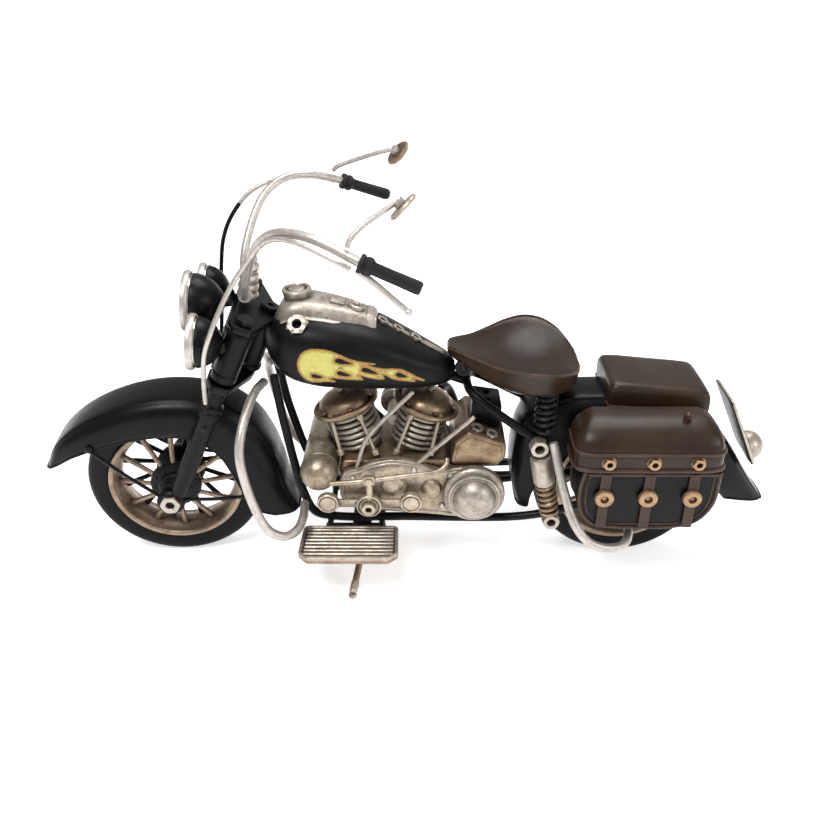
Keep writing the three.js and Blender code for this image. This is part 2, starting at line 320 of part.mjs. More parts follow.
// left side cover with the big stepped dome
const coverPts = [[-31, 60.4], [-24, 63.4], [-14, 67.4], [-4, 68.6], [6, 66.6], [16, 62.6], [26, 64], [36, 63.6], [44, 59], [47.6, 50.6], [46, 42], [40, 36.4], [32, 34.6], [10, 36.6], [-8, 38], [-24, 40], [-32, 45]];
piece(bike, 'primary_cover', join(prismY(coverPts, -24.8, -20.3, 1.2), revolve([[0, -36.4], [5.4, -35.4], [9, -32.4], [10.4, -29.6], [12.4, -29.4], [12.8, -27], [14.8, -26.6], [15.2, -23], [0, -23]], v(33.6, 0, 49.8), v(0, 1, 0), 14), revolve([[0, -27.6], [5.4, -27], [6.6, -24], [0, -24]], v(-6, 0, 54.5), v(0, 1, 0), 8), revolve([[0, -27.4], [4, -27], [4.8, -24], [0, -24]], v(12.6, 0, 52.6), v(0, 1, 0), 8)), BRONZE);
// shift linkage: cranked rod, clamp, foot bar with discs and the ring nut
const linkRod = tube([v(-36.5, -34, 61), v(-20, -33.6, 62.4), v(0, -32.4, 64.6), v(16, -30.6, 66.4), v(19.6, -28.4, 69), v(20, -26.2, 70.8)], 1.2, 5, 8);
const footBar = box(-40, 4, -31.4, -29.8, 45.2, 49.8);
piece(bike, 'shift_linkage', join(linkRod, rod(v(-17.6, -31.8, 47.4), v(-17.6, -31.8, 63), 1.6, 6), rod(v(-18, -33.4, 47), v(-18, -30.4, 47), 6.0, 10), nut(v(-18, -34.4, 47), v(0, 1, 0), 6.2, 3, 1.4), rod(v(-38, -32.8, 48.6), v(-38, -30.2, 48.6), 5.2, 8), rod(v(2.6, -32.8, 48.8), v(2.6, -30.2, 48.8), 5.2, 8), footBar, rod(v(-18, -31, 47), v(-18, -25.1, 47), 2, 6)), SILVER);
piece(bike, 'oil_tank', join(prismY([[27.4, 63.2], [46.4, 63.2], [46.8, 68], [44, 76.4], [31, 79], [27.4, 76]], -21.6, 18, 1.5), nut(v(33.6, -16, 79.2), v(0.2, -0.3, 1), 5.6, 3), nut(v(40.4, -17, 77.6), v(0.2, -0.3, 1), 5.6, 3)), BRONZE);
piece(bike, 'battery_box', prismY([[31.4, 79.6], [45.4, 77.6], [46.4, 89], [33.6, 92]], -9, 9, 1), BLACK);
piece(bike, 'carburettor', join(rod(v(-6.3, -3, 78.6), v(-6.3, 20, 78.6), 3.4, 8), rod(v(-6.3, 16, 78.6), v(-6.3, 22.6, 78.6), 7.2, 12), rod(v(-6.3, 6, 71.6), v(-6.3, 6, 80), 2.6, 10), nut(v(-6.3, 23.4, 78.6), v(0, 1, 0), 5, 2.4)), SILVER);
// exhaust on the right side: two headers into two slim silencers
const PIPE_Y = 36.5;
const header1 = tube([v(-31, 16.7, 86), v(-30, 24, 84), v(-25, 29, 74), v(-6, 31.6, 52), v(14, 35, 35), v(30, PIPE_Y, 28.8), v(66, PIPE_Y, 28.8)], 2.2, 6, 12);
const header2 = tube([v(17, 16.7, 86), v(21, 24, 83.6), v(26, 29.4, 70), v(31, 33, 42), v(38, PIPE_Y, 24.6), v(48, PIPE_Y, 20.2), v(66, PIPE_Y, 20.2)], 2.2, 6, 12);
const silencer = (z0, z1, x1) => revolve([[0, 0], [2.4, 0], [4.0, 8], [4.0, x1 - 72], [3.0, x1 - 66], [0, x1 - 66]], v(60, PIPE_Y, z0), v(x1 - 60, 0, z1 - z0), 10);
piece(bike, 'exhaust_pipes', join(header1, header2, silencer(28.8, 32, 160), silencer(20.2, 21.6, 154), rod(v(92, PIPE_Y, 20.6), v(92, PIPE_Y, 30), 1.6, 6)), BLACK);

// ---------------------------------------------------------------- footboards and stand
both((s, side) => {
  const pts = [[-52, 24], [-52.4, 46], [-48, 51], [-8.4, 51], [-3.6, 46.6], [-4, 24]].map(([x, y]) => [x, s * y]);
  if (s < 0) pts.reverse();
  const ribs = Array.from({ length: 8 }, (_, i) => box(-49.6, -6.4, s * (27.4 + i * 2.8) - 0.6, s * (27.4 + i * 2.8) + 0.6, 27.5, 28.9));
  const inner = [[-50.4, 25.4], [-50.6, 45.6], [-47.4, 49.4], [-9, 49.4], [-5.2, 46], [-5.6, 25.4]].map(([x, y]) => [x, s * y]);
  if (s < 0) inner.reverse();
  piece(bike, `${side}_footboard`, join(cut(prismZ(pts, 25.8, 29.1), prismZ(inner, 27.7, 31)), ribs), SILVER);
});
const STAND_TOP = v(-21.6, -18.6, 17.6), STAND_FOOT = v(-27.2, -46, 0);
const railsX = [-43, -29, -12.6];
piece(bike, 'footboard_carrier', join(railsX.map((x) => rod(v(x, -44, 23.9), v(x, 44, 23.9), 1.6, 6)), both((s) => box(-46, -9.5, s * 17 - 1.4, s * 17 + 1.4, 22.6, 26.8)), box(-25, -18.2, -18, -13, 22.8, 25), box(-25, -18.2, -15.2, -13, 14, 24)), BLACK);
const legDir = STAND_FOOT.clone().sub(STAND_TOP).normalize();
const stand = cut(join(rod(STAND_TOP, STAND_FOOT.clone().addScaledVector(legDir, 4), 1.7, 8), revolve([[0, -2.4], [2.6, -2.2], [2.6, 2.2], [0, 2.4]], STAND_TOP, v(0, -0.54, 0.84), 8)), box(-60, 20, -70, 0, -20, 0));
piece(bike, 'kickstand', stand, BRONZE);

// ---------------------------------------------------------------- crash bars
both((s, side) => piece(bike, `${side}_front_crash_bar`, tube([v(-68.4, s * 10.6, 104.6), v(-70.6, s * 18, 103), v(-74, s * 35, 95.5), v(-76, s * 44, 84), v(-74.4, s * 46, 68), v(-69.6, s * 46.2, 50), v(-64.6, s * 44, 39.6), v(-60, s * 36, 34.8), v(-56.4, s * 25, 34), v(-54, s * 20, 34.6)], CRASH_R, 6, 18), SILVER));
both((s, side) => piece(bike, `${side}_rear_crash_bar`, tube([v(69.6, s * 31.2, 83), v(70.6, s * 32.4, 79), v(74.4, s * 40, 64), v(80.6, s * 48, 47), v(88, s * 50, 38.4), v(98, s * 49.4, 34.8), v(106, s * 45, 34.2), v(109, s * 38, 36), v(108.6, s * 33, 38)], CRASH_R, 6, 16), SILVER));

// ---------------------------------------------------------------- shocks and saddle
both((s, side) => {
  const top = v(63.9, s * 26.4, 77.4), bot = v(72.6, s * 26.4, 34.6), d = bot.clone().sub(top).normalize(), L = top.distanceTo(bot);
  const p = [[0, 5], [4.0, 5], [5.3, 6], [5.3, 20.4], [4.4, 21.8]];
  for (let i = 0; i < 4; i++) p.push([4.7, 23.6 + i * 3.6], [3.7, 25.4 + i * 3.6]);
  p.push([2, 38.4], [2, L - 1], [0, L - 1]);
  const eyes = join(nut(top, v(0, 1, 0), 8.2, 6), nut(bot, v(0, 1, 0), 7.8, 6));
  piece(bike, `${side}_shock`, join(revolve(p, top, d, 10), rod(top, top.clone().addScaledVector(d, 7), 2, 6), rod(top.clone().addScaledVector(d, L - 8), bot, 2, 6), eyes), SILVER);
});
const seatSecs = [[21, 5, 119.8, 120, 5], [25, 8.8, 118.8, 119.8, 6.4], [32, 14.6, 115.8, 119, 7.4], [41, 23.4, 111.8, 119, 9], [51, 31.4, 108.6, 120, 10], [60, 35, 107.6, 120.6, 10.4], [68, 34.2, 108.2, 119.8, 10], [75, 29, 109.8, 117.6, 9], [80, 20, 111.2, 114.6, 7.4], [82.6, 9, 112, 112.8, 5.4]];
const seatRing = (k) => seatSecs.map(([x, w, zm, ze, th]) => {
  const top = [], bot = [];
  for (const f of [-1, -0.86, -0.6, -0.3, 0, 0.3, 0.6, 0.86, 1]) {
    const dish = zm + (ze - zm) * Math.pow(Math.abs(f), 2.2);
    top.push(v(x, f * w, (Math.abs(f) === 1 ? ze - 2 : dish) + k));
    bot.push(v(x, f * w * (Math.abs(f) === 1 ? 1 : 0.97), (Math.abs(f) === 1 ? ze - th + 0.6 : dish - th + (Math.abs(f) > 0.8 ? 0 : 0.4)) - k));
  }
  return [...top, ...bot.reverse()];
});
const seat = loft(seatRing(0));
piece(bike, 'seat', seat, LEATHER);
const seatGrown = loft(seatRing(GAP + 0.1));
both((s, side) => {
  const p = [[0, 0], [5, 0], [5, 1.4]];
  for (let i = 0; i < 4; i++) p.push([5.2, 2.4 + i * 4.2], [4.2, 4.5 + i * 4.2]);
  p.push([3.6, 19.4], [3.6, 26], [0, 26]);
  piece(bike, `${side}_seat_spring`, cut(revolve(p, v(66.5, s * 21.4, 83.4), v(0, 0, 1), 8), seatGrown), BLACK);
});
piece(bike, 'seat_pivot', cut(join(rod(v(27.6, -7.4, 110.6), v(27.6, 7.4, 110.6), 2.4, 8), both((s) => nut(v(27.6, s * 8, 110.6), v(0, 1, 0), 7.2, 3.4)), rod(v(27.6, 0, 110.6), v(29.4, 0, 101.8), 2.4, 8), rod(v(27.6, 0, 110.6), v(28.2, 0, 114), 2.4, 8)), seatGrown, tube(backbonePts, 2.6 + GAP, 6, 6), both((s) => tube(stayPts(s), TUBE_R + GAP, 6, 6))), BLACK);

// ---------------------------------------------------------------- rear fender, pad, bag, tail
const rearStations = [[56.5, 35, 62, 34], [53.4, 48, 63, 42], [53, 62, 66, 50], [54.6, 75, 70.6, 57.6], [59, 86, 76, 64], [67, 93, 82, 69], [78, 96.4, 90, 72.4], [94, 97.4, 100, 74.4], [110, 97, 112, 74.6], [126, 94.8, 124, 72.4], [141, 88.6, 135, 67], [154, 78, 144.6, 60], [164.6, 65, 152, 52], [174, 51, 158, 45.4], [184.5, 36.5, 163, 39.4]];
const rearRowWidths = [0.86, 0.92, 0.97, 1, 1, 1, 1, 1, 1, 1, 1, 1, 0.98, 0.95, 0.86];
const rearFenderGeo = (k) => fender(rearStations, rearRowWidths.map((w) => w), 16.2 + k, [REAR_X, 50], section);
const rearFender = solid(rearFenderGeo(0));
const lowShell = revolve([[0, -14.6], [12.4, -14.6], [12.4, -13.8], [0, -13.8]], v(0, 0, 0), v(0, 1, 0), 6);
piece(bike, 'rear_fender', rearFender, BLACK);
// solid that fills the fender with a small gap all round, used to relieve the parts that sit on it
const fenderPlug = loft(rearStations.map(([cx, cz, sx, sz]) => { const o = v(cx - REAR_X, 0, cz - 50).normalize(); const f = section; const list = [...f.map(([a, y]) => [a, -y]), ...f.slice().reverse()]; return list.map(([a, y]) => v(sx + (cx - sx) * a, y * (16.2 + 0.45), sz + (cz - sz) * a).addScaledVector(o, 0.45)); }));
const padRing = (x, z0, z1, w) => [[-w, z0], [-w, z1 - 3.4], [-w + 1, z1 - 1.2], [-w + 3.4, z1], [w - 3.4, z1], [w - 1, z1 - 1.2], [w, z1 - 3.4], [w, z0]].map(([y, z]) => v(x, y, z));
piece(bike, 'pillion_pad', cut(loft([padRing(97, 93.6, 103, 16.4), padRing(98.6, 93.6, 106.2, 18), padRing(142.6, 88.4, 102.2, 18.4), padRing(145, 88.6, 99.4, 16.8)]), fenderPlug), LEATHER);
const bagBody = [[82.4, 76.4], [80.6, 66], [82, 54], [88, 47], [98, 44.8], [112, 44.2], [128, 45], [138, 48.4], [144.4, 58], [145.4, 76.4]];
const bagShrink = [[84.2, 78], [82.4, 66], [83.6, 54.8], [88.8, 48.6], [98.4, 46.6], [112, 46], [127.6, 46.8], [136.8, 49.8], [142.6, 58.6], [143.6, 78]];
piece(bike, 'saddlebag_body', cut(prismY(bagBody, -46.6, -25.2, 1.6), prismY(bagShrink, -45, -26.8)), BLACK);
const lidRow = (z, dy, dx) => [[77.6 + dx, -25.2], [77.6 + dx, -44 + dy], [82 + dx, -47.8 + dy], [142 - dx, -47.8 + dy], [146.4 - dx, -44 + dy], [146.4 - dx, -25.2]].map(([x, y]) => v(x, y, z));
const lid = loft([lidRow(77, 0, 1.2), lidRow(79, 0, 0), lidRow(86, 0, 0), lidRow(88.4, 0.6, 0), lidRow(93, 2, 3), lidRow(97, 6, 8), lidRow(99.4, 12, 14)]);
const lidNuts = [92.6, 113, 133].map((x) => nut(v(x, -48.6, 82), v(0, 1, 0), 5.4, 2.6));
piece(bike, 'saddlebag_lid', cut(join(lid, lidNuts, rod(v(128, -34, 97), v(129, -36, 103.4), 1.8, 8)), box(84, 141, -45.4, -27.4, 70, 86)), LEATHER);
const straps = [92.2, 112.4, 132.8].map((x) => join(box(x - 2.4, x + 2.4, -48.2, -47.0, 46.4, 76.2), revolve([[2, -50], [4.2, -50], [4.4, -48], [2, -48]].concat([[2, -50]]), v(x, 0, 63.4), v(0, 1, 0), 10)));
piece(bike, 'saddlebag_straps', join(straps, box(84, 143.4, -48.0, -47.0, 74.8, 76.2)), BRONZE);
piece(bike, 'number_plate', prismY([[156.6, 94.2], [158.2, 94.6], [174.6, 57], [173, 56.4]], -13, 13), SILVER);
piece(bike, 'tail_light', revolve([[0, 0], [8.6, 0], [8.8, 1.6], [7.6, 4.6], [4.6, 7.6], [0, 8.6]], v(173.2, 0, 61.8), v(0.9, 0, 0.43), 14), SILVER);

// ---------------------------------------------------------------- footprint centre at the origin
bike.position.set(-SHIFT_X, -SHIFT_Y, 0);
const group = new THREE.Group();
group.add(bike);
export default group;
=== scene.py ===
import bpy
import math
import numpy as np
from mathutils import Vector, Matrix, Quaternion


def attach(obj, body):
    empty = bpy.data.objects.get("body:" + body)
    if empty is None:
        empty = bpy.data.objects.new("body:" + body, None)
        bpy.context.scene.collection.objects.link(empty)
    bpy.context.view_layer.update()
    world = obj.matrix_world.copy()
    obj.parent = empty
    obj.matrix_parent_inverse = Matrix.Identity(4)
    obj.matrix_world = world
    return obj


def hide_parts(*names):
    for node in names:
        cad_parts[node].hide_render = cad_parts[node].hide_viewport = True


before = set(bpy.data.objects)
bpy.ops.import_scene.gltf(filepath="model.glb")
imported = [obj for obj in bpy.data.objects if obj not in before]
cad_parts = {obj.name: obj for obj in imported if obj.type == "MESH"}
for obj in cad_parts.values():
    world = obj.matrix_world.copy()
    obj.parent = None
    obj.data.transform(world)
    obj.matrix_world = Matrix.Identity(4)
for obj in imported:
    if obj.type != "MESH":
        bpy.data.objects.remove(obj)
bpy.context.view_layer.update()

# ------------------------------------------------------------------ frame
SX, SY = 1.96, 3.12                       # footprint centre in bike coordinates, mm
RAKE, STEER = math.radians(24.5), math.radians(5)
HEAD = np.array([-69.5, 0, 125.0])
UP = np.array([math.sin(RAKE), 0, math.cos(RAKE)])
R_APO = 45 * math.cos(math.pi / 36)
FX, FZ = -119.2, R_APO + 0.18
RX, RZ = 110.4, R_APO
FORK_Y, AXIS_BACK = 23, 9.9


def A(*p):
    return np.array(p, float)


def rot_up(P):
    c, s = math.cos(STEER), math.sin(STEER)
    V = P - HEAD
    d = V @ UP
    return HEAD + V * c + np.cross(UP, V) * s + np.outer(d, UP) * (1 - c)


def unit(v):
    v = np.asarray(v, float)
    return v / np.linalg.norm(v)


def basis(d):
    d = unit(d)
    a = A(0, 0, 1) if abs(d[2]) < 0.9 else A(1, 0, 0)
    u = unit(np.cross(a, d))
    return u, np.cross(d, u), d


def fork(t, y, back=0.0):
    return A(-113.5 + UP[0] * t + back * UP[2], y, 52.3 + UP[2] * t - back * UP[0])


# ------------------------------------------------------------------ geometry
class G:
    def __init__(self):
        self.v, self.f, self.m, self.n = [], [], [], 0

    def add(self, vf, mat=0):
        v, f = vf
        v = np.asarray(v, float)
        self.v.append(v)
        self.f += [tuple(i + self.n for i in q) for q in f]
        self.m += [mat] * len(f)
        self.n += len(v)
        return self


def catmull(P, per=8, closed=False):
    P = [np.asarray(p, float) for p in P]
    n = len(P)
    out = []
    for i in range(n if closed else n - 1):
        p1, p2 = P[i], P[(i + 1) % n]
        p0 = P[(i - 1) % n] if closed or i > 0 else 2 * p1 - p2
        p3 = P[(i + 2) % n] if closed or i + 2 < n else 2 * p2 - p1
        t0 = 0.0
        t1 = t0 + max(np.linalg.norm(p1 - p0), 1e-9) ** 0.5
        t2 = t1 + max(np.linalg.norm(p2 - p1), 1e-9) ** 0.5
        t3 = t2 + max(np.linalg.norm(p3 - p2), 1e-9) ** 0.5
        for k in range(per):
            t = t1 + (t2 - t1) * k / per
            a1 = (t1 - t) / (t1 - t0) * p0 + (t - t0) / (t1 - t0) * p1
            a2 = (t2 - t) / (t2 - t1) * p1 + (t - t1) / (t2 - t1) * p2
            a3 = (t3 - t) / (t3 - t2) * p2 + (t - t2) / (t3 - t2) * p3
            b1 = (t2 - t) / (t2 - t0) * a1 + (t - t0) / (t2 - t0) * a2
            b2 = (t3 - t) / (t3 - t1) * a2 + (t - t1) / (t3 - t1) * a3
            out.append((t2 - t) / (t2 - t1) * b1 + (t - t1) / (t2 - t1) * b2)
    if not closed:
        out.append(P[-1])
    return np.array(out)


def fillet(P, r, k=3, closed=False):
    P = [np.asarray(p, float) for p in P]
    n = len(P)
    out = []
    for i, p in enumerate(P):
        if not closed and i in (0, n - 1):
            out.append(p)
            continue
        a, b = P[(i - 1) % n] - p, P[(i + 1) % n] - p
        la, lb = np.linalg.norm(a), np.linalg.norm(b)
        if la < 1e-6 or lb < 1e-6:
            out.append(p)
            continue
        a, b = a / la, b / lb
        cosang = float(np.clip(a @ b, -1, 1))
        if cosang < -0.995:
            out.append(p)
            continue
        d = min(r / math.tan(math.acos(cosang) / 2) if cosang < 0.999 else r, 0.46 * la, 0.46 * lb)
        q0, q1 = p + a * d, p + b * d
        for j in range(k + 1):
            t = j / k
            out.append((1 - t) ** 2 * q0 + 2 * t * (1 - t) * p + t * t * q1)
    return np.array(out)


def rings(rs, cap0=True, cap1=True, closed=True):
    n = len(rs[0])
    V = np.concatenate(rs)
    F = []
    m = n if closed else n - 1
    for i in range(len(rs) - 1):
        for j in range(m):
            a, b = i * n + j, i * n + (j + 1) % n
            F.append((a, b, b + n, a + n))
    if cap0:
        F.append(tuple(range(n))[::-1])
    if cap1:
        F.append(tuple(range((len(rs) - 1) * n, len(rs) * n)))
    return V, F


def rev(profile, at, d, n=48, r=0.0, closed=False, hexr=None):
    """turned shape: [radius, height] profile from `at` along `d`"""
    P = np.array(profile, float)
    if r:
        P = fillet(P, r, 3, closed)
    u, w, d = basis(d)
    V, F, rows = [], [], []
    ang = np.arange(n) * 2 * math.pi / n
    cs = np.outer(np.cos(ang), u) + np.outer(np.sin(ang), w)
    for rad, h in P:
        c = np.asarray(at) + d * h
        if rad < 1e-6:
            rows.append([len(V)] * n)
            V.append(c)
        else:
            rows.append(list(range(len(V), len(V) + n)))
            V.extend(c + cs * rad)
    m = len(rows)
    for i in range(m if closed else m - 1):
        a, b = rows[i], rows[(i + 1) % m]
        for j in range(n):
            k = (j + 1) % n
            q = [a[j], a[k], b[k], b[j]]
            q = [x for z, x in enumerate(q) if x not in q[:z]]
            if len(q) > 2:
                F.append(tuple(q))
    if not closed:
        for row, flip in ((rows[0], True), (rows[-1], False)):
            if row[0] != row[1]:
                F.append(tuple(row[::-1] if flip else row))
    return np.array(V), F


def tube(pts, r, n=14, per=8, raw=False, caps=True):
    P = np.array(pts, float) if raw else catmull(pts, per)
    rad = np.full(len(P), r) if np.isscalar(r) else np.interp(np.linspace(0, 1, len(P)), np.linspace(0, 1, len(r)), r)
    T = np.gradient(P, axis=0)
    T /= np.linalg.norm(T, axis=1)[:, None]
    u, w, _ = basis(T[0])
    ang = np.arange(n) * 2 * math.pi / n
    rs = []
    for i in range(len(P)):
        u = unit(u - T[i] * (u @ T[i]))
        w = np.cross(T[i], u)
        ring = np.outer(np.cos(ang), u) + np.outer(np.sin(ang), w)
        if caps and i == 0:
            rs.append(P[0] + ring * rad[0] * 0.55)
            rs.append(P[0] + T[0] * rad[0] * 0.12 + ring * rad[0] * 0.88)
            rs.append(P[0] + T[0] * rad[0] * 0.4 + ring * rad[0])
            continue
        if caps and i == len(P) - 1:
            rs.append(P[-1] - T[-1] * rad[-1] * 0.4 + ring * rad[-1])
            rs.append(P[-1] - T[-1] * rad[-1] * 0.12 + ring * rad[-1] * 0.88)
            rs.append(P[-1] + ring * rad[-1] * 0.55)
            continue
        rs.append(P[i] + ring * rad[i])
    return rings(rs)


def rod(a, b, r, n=20):
    a, b = np.asarray(a, float), np.asarray(b, float)
    L = np.linalg.norm(b - a)
    e = min(0.25, r * 0.3)
    return rev([[0, 0], [r - e, 0], [r, e], [r, L - e], [r - e, L], [0, L]], a, b - a, n)


def coil(at, d, R, r, turns, length, n=8, per=22):
    u, w, d = basis(d)
    N = int(turns * per)
    t = np.arange(N + 1) / N
    a = t * turns * 2 * math.pi
    P = np.asarray(at) + np.outer(t * length, d) + R * (np.outer(np.cos(a), u) + np.outer(np.sin(a), w))
    return tube(P, r, n, raw=True)


def nut(at, d, across, thick, bore=0.0, n=48, spin=0.0, chamfer=True):
    u, w, d = basis(d)
    ang = np.arange(n) * 2 * math.pi / n
    hx = (across / 2) / np.cos((ang + spin) % (math.pi / 3) - math.pi / 6)
    cs = np.outer(np.cos(ang), u) + np.outer(np.sin(ang), w)
    rr = across / 2
    rs = []
    c = lambda h: np.asarray(at) + d * (h - thick / 2)
    lim = np.minimum(hx, rr * 1.0)
    mid = np.minimum(hx, rr * 1.08)
    R = [(lim, 0), (mid, thick * 0.08), (hx, thick * 0.24), (hx, thick * 0.76), (mid, thick * 0.92), (lim, thick)]
    if bore:
        b = np.full(n, bore)
        R = [(b, thick * 0.1), (b * 1.12, 0)] + R + [(b * 1.12, thick), (b, thick * 0.9)]
        rs = [c(h) + cs * q[:, None] for q, h in R]
        V, F = rings(rs, False, False)
        m = len(rs)
        for j in range(n):
            a_, b_ = (m - 1) * n + j, (m - 1) * n + (j + 1) % n
            F.append((a_, b_, (j + 1) % n, j))
        return V, F
    rs = [c(h) + cs * q[:, None] for q, h in R]
    return rings(rs)


def inset(P, d):
    P = np.asarray(P, float)
    a = P - np.roll(P, 1, 0)
    b = np.roll(P, -1, 0) - P
    a /= np.maximum(np.linalg.norm(a, axis=1), 1e-9)[:, None]
    b /= np.maximum(np.linalg.norm(b, axis=1), 1e-9)[:, None]
    na = np.stack([-a[:, 1], a[:, 0]], 1)
    nb = np.stack([-b[:, 1], b[:, 0]], 1)
    m = na + nb
    m /= np.maximum((m * na).sum(1), 0.35)[:, None]
    area = 0.5 * np.sum(P[:, 0] * np.roll(P[:, 1], -1) - np.roll(P[:, 0], -1) * P[:, 1])
    return P + m * d * (1 if area > 0 else -1)


def plate(outline, h0, h1, place, r=1.0, b=0.5, k=3, smooth=0):
    """rounded plate: 2-D outline swept from h0 to h1, edges rolled over by b"""
    P = catmull(outline, smooth, True) if smooth else fillet(outline, r, 4, True)
    rs = []
    for i in range(k + 1):
        t = math.pi / 2 * i / k
        rs.append((inset(P, b * (1 - math.sin(t))), h0 + b * (1 - math.cos(t))))
    for i in range(k + 1):
        t = math.pi / 2 * i / k
        rs.append((inset(P, b * (1 - math.cos(t))), h1 - b * (1 - math.sin(t))))
    return rings([np.array([place(x, y, h) for x, y in Q]) for Q, h in rs])


def inY(x, z, h):
    return (x, h, z)


def inZ(x, y, h):
    return (x, y, h)


def resample(rs, per):
    """smooth a list of rings lengthwise"""
    rs = np.array(rs, float)
    cols = [catmull(rs[:, j], per) for j in range(rs.shape[1])]
    return np.stack(cols, 1)


# ------------------------------------------------------------------ materials
def new_mat(name):
    m = bpy.data.materials.new(name)
    m.use_nodes = True
    nt = m.node_tree
    nt.nodes.clear()
    out = nt.nodes.new("ShaderNodeOutputMaterial")
    bs = nt.nodes.new("ShaderNodeBsdfPrincipled")
    nt.links.new(bs.outputs[0], out.inputs[0])
    return m, nt, bs


class N:
    def __init__(self, nt):
        self.nt = nt

    def node(self, kind, **kw):
        n = self.nt.nodes.new(kind)
        for k, v in kw.items():
            setattr(n, k, v)
        return n

    def link(self, a, b):
        self.nt.links.new(a, b)

    def coords(self):
        return self.node("ShaderNodeTexCoord").outputs["Object"]

    def noise(self, scale, detail=4, rough=0.6, dist=0.0, vec=None):
        n = self.node("ShaderNodeTexNoise")
        n.inputs["Scale"].default_value = scale
        n.inputs["Detail"].default_value = detail
        n.inputs["Roughness"].default_value = rough
        n.inputs["Distortion"].default_value = dist
        self.link(vec or self.coords(), n.inputs["Vector"])
        return n.outputs["Fac"]

    def ramp(self, fac, stops):
        r = self.node("ShaderNodeValToRGB")
        e = r.color_ramp.elements
        e[0].position, e[0].color = stops[0][0], tuple(stops[0][1]) + (1,)
        e[1].position, e[1].color = stops[-1][0], tuple(stops[-1][1]) + (1,)
        for p, c in stops[1:-1]:
            x = e.new(p)
            x.color = tuple(c) + (1,)
        self.link(fac, r.inputs[0])
        return r.outputs[0]

    def rng(self, fac, a, b, c, d):
        m = self.node("ShaderNodeMapRange")
        m.inputs[1].default_value, m.inputs[2].default_value = a, b
        m.inputs[3].default_value, m.inputs[4].default_value = c, d
        self.link(fac, m.inputs[0])
        return m.outputs[0]

    def mix(self, fac, a, b, mode="MIX"):
        m = self.node("ShaderNodeMix", data_type="RGBA", blend_type=mode)
        if hasattr(fac, "links"):
            self.link(fac, m.inputs[0])
        else:
            m.inputs[0].default_value = fac
        for s, x in ((m.inputs[6], a), (m.inputs[7], b)):
            if hasattr(x, "links"):
                self.link(x, s)
            else:
                s.default_value = tuple(x) + (1,)
        return m.outputs[2]

    def math(self, op, a, b=None):
        m = self.node("ShaderNodeMath", operation=op)
        m.use_clamp = op in ("ADD", "MULTIPLY")
        for s, x in zip(m.inputs, (a, b)):
            if x is None:
                continue
            if hasattr(x, "links"):
                self.link(x, s)
            else:
                s.default_value = x
        return m.outputs[0]

    def ao(self, dist):
        n = self.node("ShaderNodeAmbientOcclusion")
        n.samples = 4
        n.inputs["Distance"].default_value = dist
        return n.outputs["AO"]

    def point(self):
        return self.node("ShaderNodeNewGeometry").outputs["Pointiness"]

    def bump(self, h, strength, dist, bs, prev=None):
        b = self.node("ShaderNodeBump")
        b.inputs["Strength"].default_value = strength
        b.inputs["Distance"].default_value = dist
        self.link(h, b.inputs["Height"])
        if prev is not None:
            self.link(prev, b.inputs["Normal"])
        if bs is not None:
            self.link(b.outputs[0], bs.inputs["Normal"])
        return b.outputs[0]


def metal(name, light, mid, dark, patina, metallic=0.75, rough=(0.3, 0.55), amount=0.5, scale=260, bump=0.25):
    """antiqued plating: rubbed highlights, brown patina in the hollows"""
    m, nt, bs = new_mat(name)
    k = N(nt)
    big = k.noise(scale * 0.35, 5, 0.62, 0.4)
    fine = k.noise(scale * 3.4, 6, 0.7)
    col = k.ramp(big, [(0.3, mid), (0.52, light), (0.72, mid)])
    streak = k.rng(fine, 0.5, 0.72, 0.0, 0.55)
    col = k.mix(streak, col, dark)
    hollow = k.rng(k.ao(0.0035), 0.35, 0.95, 1.0, 0.0)
    stain = k.rng(k.noise(scale * 0.9, 6, 0.7, 0.8), 0.46, 0.66, 0.0, 1.0)
    fac = k.math("MULTIPLY", k.math("ADD", hollow, k.math("MULTIPLY", stain, 0.45)), amount)
    col = k.mix(fac, col, patina)
    edge = k.rng(k.point(), 0.52, 0.58, 0.0, 0.6)
    col = k.mix(edge, col, light)
    k.link(col, bs.inputs["Base Color"])
    bs.inputs["Metallic"].default_value = metallic
    k.link(k.rng(k.noise(scale * 1.4, 5, 0.65), 0.3, 0.7, rough[0], rough[1]), bs.inputs["Roughness"])
    h = k.bump(k.noise(scale * 0.8, 4, 0.55), bump * 0.6, 0.0004, None)
    k.bump(fine, bump, 0.00012, bs, h)
    return m


